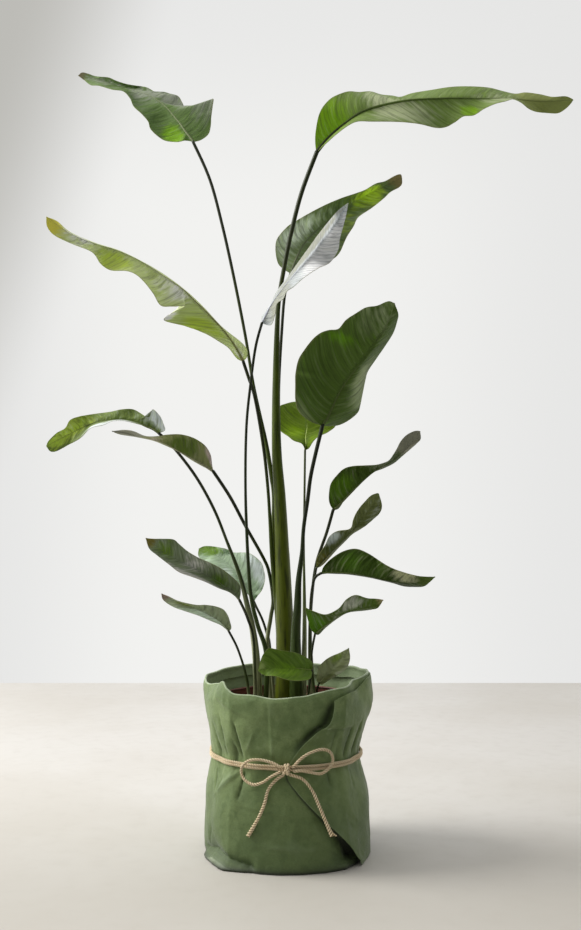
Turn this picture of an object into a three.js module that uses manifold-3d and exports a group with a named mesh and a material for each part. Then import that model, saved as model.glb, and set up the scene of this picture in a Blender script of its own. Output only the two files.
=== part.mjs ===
// A potted bird of paradise: eighteen leaves on long stalks, in a brown nursery pot
// that stands in a green wrap tied with twine. Millimetres, +Z up, the front is -Y.
import * as THREE from "three";
import Module from "manifold-3d";

const wasm = await Module();
wasm.setup();

// Driving dimensions
const SHEET = 2; // thickness of the wrap
const WRAP_GAP = 0.6; // between two layers of the wrap
const TIE_HEIGHT = 158; // where the twine runs round the wrap
const TWINE_RADIUS = 2.1;
const POT_RIM_HEIGHT = 242;
const POT_RIM_RADIUS = 116;
const POT_WALL = 1.8;
const SOIL_TOP = 225;
const SOIL_BOTTOM = 6;
const BLADE_THICKNESS = 1;
const GAP = 0.3; // left between two pieces that touch
const STALK_GAP = 0.4; // left round a stalk by what clasps it
const ROOT_DEPTH = 32; // how far a stalk goes down into the soil

// The leaves are laid out in the front view, at the pot's middle plane, and each point is
// then moved back or forward along the line from the eye.
const EYE = new THREE.Vector3(5.6, -2000, 613);

// Colours
const GREEN = { deep: 0x33441c, mid: 0x4f6a26, fresh: 0x7b9438, pale: 0x8a9a72 };
const WRAP_GREEN = 0x8fa077;
const TWINE_BROWN = 0xb08a5a;
const POT_BROWN = 0x8a4f3a;
const SOIL_BROWN = 0x3a2822;

// Leaves
// foot: where the stalk meets the soil, x and y. radii: of the stalk at the foot and at the blade.
// swell: the share of the stalk along which it narrows, where that isn't TAPER.
// halfWidth: of the blade where it is widest. stalk and rib rows: x, z in the front view, and
// depth y. left and right: the blade's two edges in the front view, looking along the rib from the
// stalk. lean: whether the part of each half that isn't seen comes towards the eye (1) or turns
// away from it (-1).
const LEAVES = [
  {
    name: "leaf_top_right",
    colour: GREEN.fresh,
    foot: [-2, 2],
    radii: [17.5, 3.8],
    swell: 0.72,
    halfWidth: 58,
    lean: [-1, 1],
    wave: [3, 5],
    stalk: [
      [-3, 333, 5],
      [-7, 461, 8],
      [-11, 560, 8],
      [-16, 637, 8],
      [-17, 749, 8],
      [-14, 861, 8],
      [-5, 925, 6],
      [8, 989, 4],
      [24, 1050, 2],
    ],
    rib: [
      [48, 1114, 0],
      [61, 1130, 4],
      [78, 1147, 10],
      [98, 1163, 18],
      [118, 1177, 26],
      [146, 1187, 36],
      [189, 1196, 50],
      [229, 1199, 62],
      [269, 1200, 72],
      [309, 1199, 82],
      [357, 1199, 90],
      [405, 1195, 96],
      [458, 1197, 100],
    ],
    left: [
      [46, 1119], [45, 1136], [47, 1155], [51, 1173], [58, 1187], [69, 1199], [82, 1206],
      [98, 1211], [115, 1210], [133, 1211], [150, 1206], [168, 1204], [181, 1202], [200, 1208],
      [229, 1213], [261, 1218], [290, 1219], [322, 1217], [346, 1211], [365, 1207], [382, 1209],
      [405, 1206], [424, 1202], [445, 1203], [456, 1199],
    ],
    right: [
      [62, 1127], [80, 1143], [99, 1157], [114, 1163], [136, 1163], [165, 1163], [189, 1162],
      [213, 1159], [238, 1153], [254, 1154], [269, 1162], [282, 1171], [299, 1173], [315, 1183],
      [333, 1191], [349, 1195], [365, 1199], [376, 1192], [387, 1183], [400, 1178], [418, 1176],
      [434, 1176], [446, 1183], [454, 1191],
    ],
  },
  {
    name: "leaf_top_left",
    colour: GREEN.mid,
    foot: [-6, 32],
    radii: [7, 2.7],
    halfWidth: 52,
    lean: [1, 1],
    wave: [2.5, 3],
    stalk: [
      [-8, 333, 32],
      [-21, 461, 30],
      [-20, 557, 30],
      [-24, 592, 30],
      [-29, 624, 31],
      [-35, 656, 32],
      [-53, 738, 34],
      [-66, 817, 38],
      [-84, 909, 44],
      [-103, 995, 50],
      [-123, 1069, 56],
    ],
    rib: [
      [-150, 1130, 62],
      [-157, 1139, 66],
      [-163, 1147, 70],
      [-171, 1159, 76],
      [-177, 1166, 80],
      [-194, 1186, 92],
      [-216, 1202, 106],
      [-238, 1211, 118],
      [-259, 1216, 128],
      [-294, 1227, 140],
      [-334, 1236, 148],
    ],
    left: [
      [-163, 1132], [-176, 1130], [-194, 1132], [-206, 1139], [-218, 1151], [-222, 1163], [-232, 1175],
      [-245, 1187], [-251, 1200], [-262, 1211], [-280, 1214], [-301, 1220], [-314, 1221], [-325, 1229],
    ],
    right: [
      [-138, 1133], [-126, 1142], [-122, 1155], [-121, 1170], [-119, 1186], [-118, 1199], [-128, 1191],
      [-139, 1188], [-150, 1181], [-162, 1181], [-167, 1192], [-174, 1203], [-187, 1207], [-198, 1210],
      [-211, 1210], [-224, 1217], [-243, 1220], [-259, 1223], [-274, 1228], [-286, 1233], [-306, 1235],
      [-318, 1239], [-328, 1241],
    ],
  },
  {
    name: "leaf_mid_left",
    colour: GREEN.fresh,
    foot: [-14, 19],
    radii: [7, 2.8],
    halfWidth: 54,
    lean: [1, -1],
    wave: [3, 4],
    stalk: [
      [-12, 333, 18],
      [-23, 461, 14],
      [-27, 525, 12],
      [-31, 583, 8],
      [-38, 645, 0],
      [-51, 720, -10],
      [-62, 755, -14],
    ],
    rib: [
      [-70, 779, -18],
      [-80, 797, -24],
      [-90, 813, -28],
      [-104, 831, -34],
      [-133, 862, -44],
      [-147, 875, -49],
      [-162, 890, -54],
      [-179, 903, -60],
      [-197, 915, -66],
      [-229, 936, -76],
      [-268, 955, -86],
      [-306, 967, -94],
      [-346, 983, -102],
      [-385, 1010, -108],
    ],
    left: [
      [-80, 783], [-93, 800], [-109, 811], [-130, 823], [-162, 835], [-197, 845], [-178, 859],
      [-163, 867], [-184, 867], [-202, 869], [-214, 888], [-229, 907], [-243, 919], [-258, 924],
      [-282, 925], [-298, 935], [-307, 949], [-318, 957], [-347, 968], [-373, 981], [-384, 995],
    ],
    right: [
      [-64, 786], [-64, 797], [-74, 810], [-104, 834], [-133, 865], [-162, 892], [-197, 918],
      [-229, 937], [-268, 956], [-306, 968], [-346, 985], [-368, 1003],
    ],
  },
  {
    name: "leaf_upper_back",
    colour: GREEN.mid,
    foot: [11, 25],
    radii: [8, 2.6],
    halfWidth: 52,
    lean: [1, 1],
    wave: [2.5, 3],
    stalk: [
      [6, 333, 28],
      [-2, 461, 30],
      [-6, 560, 30],
      [-11, 637, 28],
      [-13, 730, 28],
      [-8, 830, 30],
      [-3, 888, 36],
    ],
    rib: [
      [6, 919, 44],
      [10, 931, 50],
      [19, 952, 60],
      [30, 970, 70],
      [51, 991, 84],
      [77, 1011, 98],
      [104, 1031, 112],
      [133, 1048, 124],
      [160, 1062, 134],
      [184, 1072, 140],
    ],
    left: [
      [-6, 927], [-14, 935], [-18, 951], [-18, 967], [-13, 979], [2, 995], [18, 1005],
      [37, 1016], [62, 1029], [88, 1040], [109, 1047], [125, 1053], [142, 1063], [157, 1067],
      [173, 1076], [182, 1078],
    ],
    right: [
      [21, 917], [40, 925], [62, 936], [77, 945], [85, 954], [90, 965], [96, 979],
      [106, 995], [114, 1010], [136, 1025], [155, 1040], [166, 1050], [179, 1057], [184, 1063],
    ],
  },
  {
    name: "leaf_silver",
    colour: GREEN.pale,
    foot: [-34, -14],
    radii: [4.5, 2.3],
    halfWidth: 34,
    lean: [-1, 1],
    wave: [1.5, 2],
    stalk: [
      [-33, 309, -18],
      [-47, 357, -24],
      [-56, 394, -28],
      [-61, 440, -34],
      [-66, 560, -42],
      [-65, 669, -44],
      [-58, 744, -46],
      [-50, 802, -48],
    ],
    rib: [
      [-40, 840, -50],
      [-27, 866, -53],
      [-10, 891, -56],
      [13, 919, -60],
      [38, 947, -64],
      [61, 976, -68],
      [82, 1005, -72],
      [98, 1032, -76],
    ],
    left: [
      [-40, 851], [-34, 859], [-27, 869], [-16, 891], [2, 915], [17, 936], [38, 965],
      [51, 983], [77, 1015], [90, 1027],
    ],
    right: [
      [-26, 837], [-19, 855], [-16, 871], [-6, 879], [0, 891], [10, 898], [27, 913],
      [50, 928], [69, 937], [82, 957], [85, 976], [94, 1010],
    ],
  },
  {
    name: "leaf_broad",
    colour: GREEN.deep,
    foot: [15, -18],
    radii: [13, 3.2],
    halfWidth: 80,
    lean: [1, -1],
    wave: [2.5, 4],
    stalk: [
      [14, 333, -36],
      [17, 384, -50],
      [19, 429, -62],
      [24, 472, -74],
      [27, 514, -84],
      [33, 555, -92],
      [38, 594, -100],
      [46, 631, -108],
    ],
    rib: [
      [57, 676, -116],
      [61, 683, -118],
      [66, 691, -120],
      [75, 711, -126],
      [86, 733, -134],
      [101, 755, -142],
      [122, 781, -152],
      [141, 807, -162],
      [157, 831, -172],
      [168, 855, -180],
      [172, 872, -186],
    ],
    left: [
      [50, 678], [37, 683], [24, 693], [17, 704], [14, 720], [14, 741], [14, 762],
      [18, 781], [26, 795], [40, 813], [53, 824], [67, 829], [82, 831], [94, 845],
      [109, 855], [126, 865], [144, 868], [158, 874], [165, 875], [171, 872],
    ],
    right: [
      [69, 675], [85, 677], [101, 685], [114, 696], [118, 707], [122, 728], [126, 749],
      [130, 763], [144, 784], [157, 803], [170, 824], [176, 842], [178, 855],
    ],
  },
  {
    name: "leaf_pale_back",
    colour: GREEN.fresh,
    foot: [26, 16],
    radii: [6, 2],
    halfWidth: 46,
    lean: [1, 1],
    wave: [2, 2],
    stalk: [
      [28, 333, 28],
      [28, 397, 44],
      [27, 493, 58],
      [28, 557, 68],
    ],
    rib: [
      [29, 637, 84],
      [30, 647, 92],
      [30, 658, 104],
      [32, 672, 120],
      [32, 688, 138],
      [29, 703, 156],
      [24, 714, 174],
    ],
    left: [
      [24, 647], [11, 652], [2, 659], [-10, 667], [-18, 679], [-19, 693], [-13, 706],
      [-2, 711], [11, 714],
    ],
    right: [
      [35, 640], [42, 651], [51, 659], [66, 666], [78, 677], [70, 693], [53, 709],
    ],
  },
  {
    name: "leaf_left_arch",
    colour: GREEN.mid,
    foot: [-46, 10],
    radii: [8, 2.6],
    halfWidth: 32,
    lean: [1, -1],
    wave: [2, 4],
    stalk: [
      [-49, 300, 10],
      [-54, 345, 10],
      [-61, 378, 10],
      [-75, 435, 10],
      [-96, 491, 12],
      [-117, 543, 12],
      [-146, 595, 12],
      [-182, 642, 14],
    ],
    rib: [
      [-205, 664, 16],
      [-214, 670, 18],
      [-226, 675, 19],
      [-240, 681, 20],
      [-259, 685, 22],
      [-283, 685, 23],
      [-306, 681, 23],
      [-325, 674, 22],
      [-345, 664, 20],
      [-363, 655, 17],
      [-385, 643, 12],
    ],
    left: [
      [-214, 671], [-226, 675], [-240, 679], [-252, 682], [-264, 684], [-280, 683], [-294, 677],
      [-314, 672], [-331, 656], [-350, 645], [-369, 635], [-379, 635],
    ],
    right: [
      [-195, 669], [-198, 680], [-203, 691], [-214, 702], [-218, 695], [-221, 687], [-230, 693],
      [-246, 702], [-264, 702], [-283, 698], [-306, 695], [-331, 691], [-347, 685], [-355, 672],
      [-369, 664], [-382, 651],
    ],
  },
  {
    name: "leaf_left_low_arch",
    colour: GREEN.mid,
    foot: [-27, 26],
    radii: [4.5, 2.8],
    halfWidth: 30,
    lean: [-1, 1],
    wave: [1.5, 3],
    stalk: [
      [-32, 320, 40],
      [-26, 368, 42],
      [-22, 397, 40],
      [-28, 439, 30],
      [-37, 463, 18],
      [-66, 515, -8],
      [-91, 562, -26],
    ],
    rib: [
      [-118, 603, -40],
      [-131, 611, -44],
      [-150, 622, -49],
      [-173, 635, -54],
      [-195, 647, -58],
      [-219, 655, -62],
      [-243, 660, -65],
      [-264, 665, -67],
      [-280, 667, -68],
    ],
    left: [
      [-133, 610], [-151, 620], [-173, 634], [-194, 644], [-214, 652], [-242, 658], [-267, 662],
    ],
    right: [
      [-120, 615], [-122, 629], [-130, 643], [-143, 653], [-157, 659], [-173, 662], [-194, 661],
      [-205, 659], [-226, 659], [-246, 667], [-262, 669],
    ],
  },
  {
    name: "leaf_lower_left",
    colour: GREEN.mid,
    foot: [-50, -14],
    radii: [4, 2.3],
    halfWidth: 26,
    lean: [1, 1],
    wave: [1.5, 3],
    stalk: [
      [-53, 328, -30],
      [-63, 368, -46],
    ],
    rib: [
      [-76, 397, -56],
      [-83, 405, -60],
      [-93, 414, -66],
      [-118, 431, -78],
      [-144, 446, -90],
      [-170, 459, -100],
      [-194, 473, -108],
      [-211, 485, -113],
      [-226, 496, -116],
    ],
    left: [
      [-83, 403], [-93, 410], [-109, 416], [-130, 426], [-151, 434], [-173, 442], [-190, 455],
      [-210, 470], [-221, 480],
    ],
    right: [
      [-74, 410], [-77, 423], [-98, 442], [-120, 455], [-141, 464], [-159, 475], [-173, 487],
      [-182, 494], [-200, 495], [-214, 495],
    ],
  },
  {
    name: "leaf_lower_left_back",
    colour: GREEN.pale,
    foot: [-22, 42],
    radii: [4, 2.2],
    halfWidth: 40,
    lean: [1, 1],
    wave: [2, 2],
    stalk: [
      [-27, 322, 50],
      [-32, 343, 52],
      [-39, 365, 52],
      [-49, 386, 52],
    ],
    rib: [
      [-53, 395, 54],
      [-61, 411, 60],
      [-70, 427, 68],
      [-82, 443, 78],
      [-98, 458, 90],
      [-117, 471, 102],
      [-131, 477, 110],
      [-141, 479, 114],
    ],
    left: [
      [-66, 410], [-82, 423], [-104, 439], [-125, 453], [-141, 466],
    ],
    right: [
      [-46, 405], [-39, 415], [-35, 431], [-37, 445], [-42, 458], [-58, 471], [-72, 473],
      [-85, 473], [-98, 479], [-120, 483], [-133, 483],
    ],
  },
  {
    name: "leaf_small_left",
    colour: GREEN.mid,
    foot: [-60, -2],
    radii: [3.6, 2],
    halfWidth: 17,
    lean: [1, 1],
    wave: [1, 2],
    stalk: [
      [-64, 270, -8],
      [-78, 317, -14],
    ],
    rib: [
      [-93, 347, -20],
      [-104, 360, -26],
      [-120, 371, -34],
      [-141, 381, -42],
      [-163, 389, -50],
      [-182, 397, -56],
      [-201, 407, -60],
    ],
    left: [
      [-98, 351], [-106, 357], [-120, 363], [-141, 372], [-162, 379], [-182, 386], [-198, 397],
    ],
    right: [
      [-89, 352], [-91, 362], [-95, 373], [-102, 382], [-115, 387], [-130, 389], [-146, 389],
      [-173, 395], [-190, 403],
    ],
  },
  {
    name: "leaf_right_curl",
    colour: GREEN.deep,
    foot: [38, -2],
    radii: [4.5, 2.7],
    halfWidth: 34,
    lean: [1, -1],
    wave: [1.5, 3],
    stalk: [
      [37, 333, -4],
      [39, 392, -8],
      [47, 454, -14],
      [64, 506, -20],
    ],
    rib: [
      [74, 541, -26],
      [85, 551, -30],
      [101, 567, -36],
      [120, 586, -42],
      [139, 602, -48],
      [158, 613, -53],
      [176, 626, -57],
      [194, 642, -60],
      [205, 656, -62],
      [213, 667, -63],
    ],
    left: [
      [68, 552], [67, 565], [70, 583], [80, 597], [91, 607], [104, 611], [123, 612],
      [142, 613], [154, 616], [163, 620], [170, 629], [176, 639], [182, 651], [190, 660],
      [200, 666], [208, 668],
    ],
    right: [
      [83, 544], [93, 559], [104, 570], [114, 579], [134, 599], [155, 608], [171, 616],
      [184, 627], [198, 639], [208, 648], [214, 655],
    ],
  },
  {
    name: "leaf_right_twist",
    colour: GREEN.mid,
    foot: [44, 10],
    radii: [4, 1.9],
    halfWidth: 20,
    lean: [1, -1],
    wave: [1, 2],
    stalk: [
      [38, 333, 4],
      [39, 397, -16],
    ],
    rib: [
      [47, 448, -36],
      [61, 464, -44],
      [77, 480, -52],
      [93, 496, -60],
      [107, 511, -67],
      [122, 530, -74],
      [136, 549, -80],
      [147, 567, -84],
    ],
    left: [
      [47, 461], [52, 471], [61, 485], [68, 499], [80, 507], [101, 511], [106, 525],
      [110, 535], [117, 546], [125, 555], [134, 564], [144, 568],
    ],
    right: [
      [54, 451], [62, 458], [80, 478], [93, 491], [104, 502], [115, 509], [126, 516],
      [139, 527], [149, 537], [152, 549],
    ],
  },
  {
    name: "leaf_right_dark",
    colour: GREEN.deep,
    foot: [40, -22],
    radii: [4, 2.2],
    halfWidth: 38,
    lean: [1, -1],
    wave: [1.5, 3],
    stalk: [
      [37, 333, -30],
      [38, 392, -44],
      [42, 424, -54],
      [47, 435, -58],
    ],
    rib: [
      [55, 440, -62],
      [67, 441, -70],
      [80, 441, -78],
      [107, 439, -92],
      [134, 434, -104],
      [160, 428, -114],
      [186, 425, -122],
      [210, 426, -128],
      [237, 434, -132],
    ],
    left: [
      [59, 451], [72, 464], [90, 475], [110, 479], [131, 471], [155, 455], [170, 447],
      [184, 442], [198, 438], [214, 435],
    ],
    right: [
      [77, 439], [98, 438], [131, 433], [149, 429], [170, 424], [187, 419], [205, 418],
      [219, 419], [229, 426],
    ],
  },
  {
    name: "leaf_lower_right",
    colour: GREEN.mid,
    foot: [46, -48],
    radii: [3.6, 1.9],
    halfWidth: 26,
    lean: [1, -1],
    wave: [1.5, 3],
    stalk: [
      [40, 288, -56],
      [40, 315, -64],
    ],
    rib: [
      [45, 343, -74],
      [49, 346, -77],
      [56, 352, -82],
      [72, 363, -92],
      [91, 375, -102],
      [112, 382, -112],
      [133, 387, -120],
      [154, 397, -126],
    ],
    left: [
      [38, 351], [33, 367], [29, 384], [35, 382], [45, 378], [56, 374], [67, 375],
      [83, 384], [95, 398], [110, 405], [128, 400], [144, 399],
    ],
    right: [
      [51, 342], [62, 353], [80, 367], [98, 377], [122, 380], [136, 382], [146, 385],
    ],
  },
  {
    name: "leaf_front_rim",
    colour: GREEN.mid,
    foot: [30, -64],
    radii: [3.4, 1.8],
    halfWidth: 28,
    lean: [1, -1],
    wave: [1, 2],
    stalk: [[35, 253, -68]],
    rib: [
      [40, 285, -72],
      [31, 286, -80],
      [14, 288, -90],
      [-6, 288, -96],
      [-24, 288, -98],
      [-37, 286, -96],
      [-46, 284, -92],
    ],
    left: [
      [38, 272], [24, 268], [2, 269], [-18, 275], [-34, 276], [-42, 280],
    ],
    right: [
      [41, 296], [34, 303], [24, 309], [13, 313], [2, 315], [-11, 317], [-21, 319],
      [-29, 320], [-37, 312], [-42, 301],
    ],
  },
  {
    name: "leaf_right_rim",
    colour: GREEN.mid,
    foot: [56, -22],
    radii: [3, 1.6],
    halfWidth: 15,
    lean: [1, -1],
    wave: [0.8, 2],
    stalk: [[48, 248, -26]],
    rib: [
      [51, 263, -32],
      [56, 269, -35],
      [61, 275, -38],
      [72, 287, -43],
      [83, 299, -48],
      [93, 311, -52],
      [99, 320, -54],
    ],
    left: [
      [47, 269], [48, 280], [51, 290], [59, 299], [69, 306], [83, 312], [93, 317],
    ],
    right: [
      [56, 262], [66, 268], [77, 275], [93, 285], [99, 295], [101, 306],
    ],
  },
];

// Curves
// The value of smooth curves through rows of numbers, each row at its own place on 0..1.
function through(rows, places, t) {
  const last = rows.length - 1;
  let i = 0;
  while (i < last - 1 && t > places[i + 1]) i++;
  const f = Math.min(1, Math.max(0, (t - places[i]) / (places[i + 1] - places[i])));
  const at = (k) => rows[Math.min(last, Math.max(0, k))];
  return rows[i].map((_, n) => {
    const [a, b, c, d] = [at(i - 1)[n], at(i)[n], at(i + 1)[n], at(i + 2)[n]];
    const [p, q] = [(c - a) / 2, (d - b) / 2];
    return b + f * (p + f * (3 * (c - b) - 2 * p - q + f * (2 * (b - c) + p + q)));
  });
}

// Places on 0..1 of points, in step with the length between them.
function spaced(points) {
  const along = [0];
  for (let i = 1; i < points.length; i++)
    along.push(along[i - 1] + points[i].distanceTo(points[i - 1]));
  return along.map((s) => s / along[along.length - 1]);
}

const evenly = (count) => Array.from({ length: count + 1 }, (_, i) => i / count);
const bump = (x, middle, spread) => Math.exp(-(((x - middle) / spread) ** 2));
const radians = THREE.MathUtils.degToRad;

// A point of the front view at depth y, moved along the line from the eye.
function fromFront(x, z, y) {
  const reach = (y - EYE.y) / -EYE.y;
  return new THREE.Vector3(EYE.x + (x - EYE.x) * reach, y, EYE.z + (z - EYE.z) * reach);
}

// Solids
function solid(points, triangles) {
  const vertProperties = new Float32Array(points.flatMap((p) => [p.x, p.y, p.z]));
  const triVerts = new Uint32Array(triangles.flat());
  return new wasm.Manifold(new wasm.Mesh({ numProp: 3, vertProperties, triVerts }));
}

// A closed skin over rings of points: both ends are capped, or the last ring joins the first.
function skin(rings, closed = false) {
  const n = rings[0].length;
  const points = rings.flat();
  const triangles = [];
  const joins = closed ? rings.length : rings.length - 1;
  for (let i = 0; i < joins; i++)
    for (let j = 0; j < n; j++) {
      const [a, b] = [i * n + j, i * n + ((j + 1) % n)];
      const k = ((i + 1) % rings.length) * n;
      const [c, d] = [k + j, k + ((j + 1) % n)];
      triangles.push([a, b, d], [a, d, c]);
    }
  if (!closed)
    [0, rings.length - 1].forEach((i, end) => {
      const middle = rings[i].reduce((s, p) => s.add(p), new THREE.Vector3()).divideScalar(n);
      const m = points.push(middle) - 1;
      for (let j = 0; j < n; j++) {
        const [a, b] = [i * n + j, i * n + ((j + 1) % n)];
        triangles.push(end ? [a, b, m] : [b, a, m]);
      }
    });
  return solid(points, triangles);
}

// A round tube along points, with its own radius at each of them.
function tube(path, radii, sides, closed = false) {
  const last = path.length - 1;
  let side = null;
  const rings = path.map((p, i) => {
    const next = path[closed ? (i + 1) % path.length : Math.min(last, i + 1)];
    const before = path[closed ? (i + last) % path.length : Math.max(0, i - 1)];
    const along = next.clone().sub(before).normalize();
    if (!side || closed)
      side = new THREE.Vector3(0, closed ? 0 : 1, closed ? 1 : 0);
    side = side.clone().addScaledVector(along, -side.dot(along)).normalize();
    const up = along.clone().cross(side);
    return Array.from({ length: sides }, (_, k) => {
      const a = (2 * Math.PI * k) / sides;
      return p
        .clone()
        .addScaledVector(side, radii[i] * Math.cos(a))
        .addScaledVector(up, radii[i] * Math.sin(a));
    });
  });
  return skin(rings, closed);
}

// A sheet with its own thickness over a grid of points, the same triangles on both faces.
function sheet(grid, thickness) {
  const rows = grid.length;
  const columns = grid[0].length;
  const clamp = (v, top) => Math.min(top, Math.max(0, v));
  const at = (i, j) => grid[clamp(i, rows - 1)][clamp(j, columns - 1)];
  const faces = [1, -1].map((way) =>
    grid.flatMap((row, i) =>
      row.map((p, j) => {
        const along = at(i + 1, j).clone().sub(at(i - 1, j));
        const across = at(i, j + 1).clone().sub(at(i, j - 1));
        const out = along.cross(across).normalize();
        return p.clone().addScaledVector(out, (way * thickness) / 2);
      }),
    ),
  );
  const back = rows * columns;
  const triangles = [];
  const quad = (a, b, c, d) => triangles.push([a, b, c], [a, c, d]);
  for (let i = 0; i < rows - 1; i++)
    for (let j = 0; j < columns - 1; j++) {
      const [a, b, c, d] = [
        i * columns + j,
        (i + 1) * columns + j,
        (i + 1) * columns + j + 1,
        i * columns + j + 1,
      ];
      quad(a, b, c, d);
      triangles.push([back + a, back + c, back + b], [back + a, back + d, back + c]);
    }
  const edge = (a, b) => quad(b, a, back + a, back + b);
  for (let i = 0; i < rows - 1; i++) {
    edge(i * columns, (i + 1) * columns);
    edge((i + 2) * columns - 1, (i + 1) * columns - 1);
  }
  for (let j = 0; j < columns - 1; j++) {
    edge(j + 1, j);
    edge((rows - 1) * columns + j, (rows - 1) * columns + j + 1);
  }
  return solid(faces.flat(), triangles);
}

function largest(body) {
  return body.decompose().sort((a, b) => b.volume() - a.volume())[0];
}

// Leaves
const WIDEST = 0.36; // how far along the rib a blade is widest
const LEAST_WIDTH = 0.8; // of half a blade, at its two ends
const SAMPLES = 40; // steps along a blade where its seen width is measured
const REACH = 3; // samples on each side that are taken together
const CROWDING = 1.2; // power that draws the steps together at the blade's round base
const CURL = 1.6; // power of the way from rib to edge by which a blade curls away
const RIPPLE_RISE = 1.5; // power of the same way by which its ripple grows
const HALF_SHIFT = 0.37; // waves by which the ripple of the right half is ahead
const FEWEST_STEPS = 9; // along a blade
const MOST_STEPS = 18;
const STEPS_PER_EDGE_POINT = 0.8;
const TAPER = 0.6;

// A blade's half width along its rib, as a share of the greatest: a round base, a long point.
function outline(t) {
  if (t < WIDEST) return Math.sqrt(Math.max(0, 1 - (1 - t / WIDEST) ** 2));
  return Math.max(0, 1 - ((t - WIDEST) / (1 - WIDEST)) ** 1.7) ** 0.9;
}

// How much of the width of half a blade isn't seen from the front, at evenly spaced places. The
// seen width is the widest nearby, so that a notch in the edge doesn't fold the blade.
function turnedAway(leaf, seenAt) {
  const seen = evenly(SAMPLES).map(seenAt);
  const near = (values, k) => values.slice(Math.max(0, k - REACH), k + REACH + 1);
  const widest = seen.map((_, k) => Math.max(...near(seen, k)));
  return widest.map((_, k) => {
    const around = near(widest, k);
    const shown = around.reduce((s, v) => s + v, 0) / around.length;
    const whole = leaf.halfWidth * outline(k / SAMPLES);
    return [Math.sqrt(Math.max(0, whole ** 2 - shown ** 2))];
  });
}

// The blade's middle surface: a row of points from edge to edge at each step along the rib.
function bladeGrid(leaf, steps, across) {
  const points = leaf.rib.map(([x, z, y]) => fromFront(x, z, y));
  const places = spaced(points);
  const spine = points.map((p) => [p.x, p.y, p.z]);
  const ribAt = (t) => new THREE.Vector3(...through(spine, places, Math.min(1, Math.max(0, t))));
  const [height, count] = leaf.wave;
  const ends = [leaf.rib[0], leaf.rib[leaf.rib.length - 1]].map((row) => row.slice(0, 2));
  const halves = [leaf.left, leaf.right].map((edge, side) => {
    const rows = [ends[0], ...edge, ends[1]];
    const edgePlaces = spaced(rows.map(([x, z]) => new THREE.Vector3(x, 0, z)));
    const outAt = (t) => {
      const p = ribAt(t);
      return fromFront(...through(rows, edgePlaces, t), p.y).sub(p);
    };
    const depths = turnedAway(leaf, (t) => outAt(t).length());
    const depthAt = (t) => leaf.lean[side] * through(depths, evenly(SAMPLES), t)[0];
    return { outAt, depthAt, sign: side ? -1 : 1, phase: HALF_SHIFT * side };
  });
  return evenly(steps).map((step) => {
    const t = step ** CROWDING;
    const p = ribAt(t);
    const along = ribAt(t + 0.01).sub(ribAt(t - 0.01));
    const sight = EYE.clone().sub(p).normalize();
    const left = sight.clone().cross(along).normalize();
    return evenly(2 * across).map((s) => {
      const share = Math.abs(2 * s - 1);
      const half = halves[s < 0.5 ? 0 : 1];
      const out = half.outAt(t);
      out.addScaledVector(left, half.sign * Math.max(0, LEAST_WIDTH - out.length()));
      const swing = Math.sin(2 * Math.PI * (count * t + half.phase));
      const ripple = height * share ** RIPPLE_RISE * swing * outline(t);
      return p
        .clone()
        .addScaledVector(out, share)
        .addScaledVector(sight, half.depthAt(t) * share ** CURL + ripple);
    });
  });
}

// The stalk's path from inside the soil to the blade, and its radius along it.
function stalkPath(leaf) {
  const [footX, footY] = leaf.foot;
  const foot = new THREE.Vector3(footX, footY, SOIL_TOP);
  const points = [
    foot.clone().setZ(SOIL_TOP - ROOT_DEPTH),
    foot,
    ...leaf.stalk.map(([x, z, y]) => fromFront(x, z, y)),
    fromFront(...leaf.rib[0].slice(0, 3)),
  ];
  const places = spaced(points);
  const length = points.reduce((s, p, i) => s + (i ? p.distanceTo(points[i - 1]) : 0), 0);
  const rows = points.map((p) => [p.x, p.y, p.z]);
  const steps = Math.max(4, Math.round(length / 90));
  const path = evenly(steps).map((t) => new THREE.Vector3(...through(rows, places, t)));
  const [thick, thin] = leaf.radii;
  const taper = leaf.swell || TAPER;
  const radii = evenly(steps).map((t) => thin + (thick - thin) * Math.max(0, 1 - t / taper));
  return { path, radii };
}

const sidesOf = (leaf) => (leaf.radii[0] > 7 ? 8 : 6);

function leafSolid(leaf) {
  const edgePoints = Math.max(leaf.left.length, leaf.right.length);
  const wanted = Math.round(STEPS_PER_EDGE_POINT * edgePoints);
  const steps = Math.min(MOST_STEPS, Math.max(FEWEST_STEPS, wanted));
  const blade = sheet(bladeGrid(leaf, steps, 2), BLADE_THICKNESS);
  const { path, radii } = stalkPath(leaf);
  const sides = sidesOf(leaf);
  const ribPath = bladeGrid(leaf, 5, 1)
    .slice(0, 5)
    .map((row) => row[1]);
  const thin = leaf.radii[1];
  const ribRadii = ribPath.map((_, i) => 0.8 + (thin - 0.8) * (1 - i / 4));
  const stem = tube([...path, ...ribPath.slice(1)], [...radii, ...ribRadii.slice(1)], sides);
  return blade.add(stem);
}

function clearance(leaf, gap) {
  const { path, radii } = stalkPath(leaf);
  return tube(
    path,
    radii.map((r) => r + gap),
    sidesOf(leaf),
  );
}

// Wrap
// Angles are in degrees round the pot from the front, to the right as it is seen.
const RIM = [
  [-180, 272],
  [-145, 277],
  [-115, 271],
  [-100, 266],
  [-88, 265],
  [-76, 268],
  [-62, 275],
  [-52, 279],
  [-45, 272],
  [-38, 265],
  [-26, 265],
  [0, 263],
  [30, 272],
  [50, 276],
  [75, 282],
  [100, 280],
  [135, 277],
  [160, 277],
  [180, 272],
];
const BELLY = [
  [0, 130],
  [40, 131],
  [90, 130],
  [136, 125],
  [TIE_HEIGHT, 122.5],
  [180, 125],
  [224, 129],
  [284, 133],
];
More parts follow.
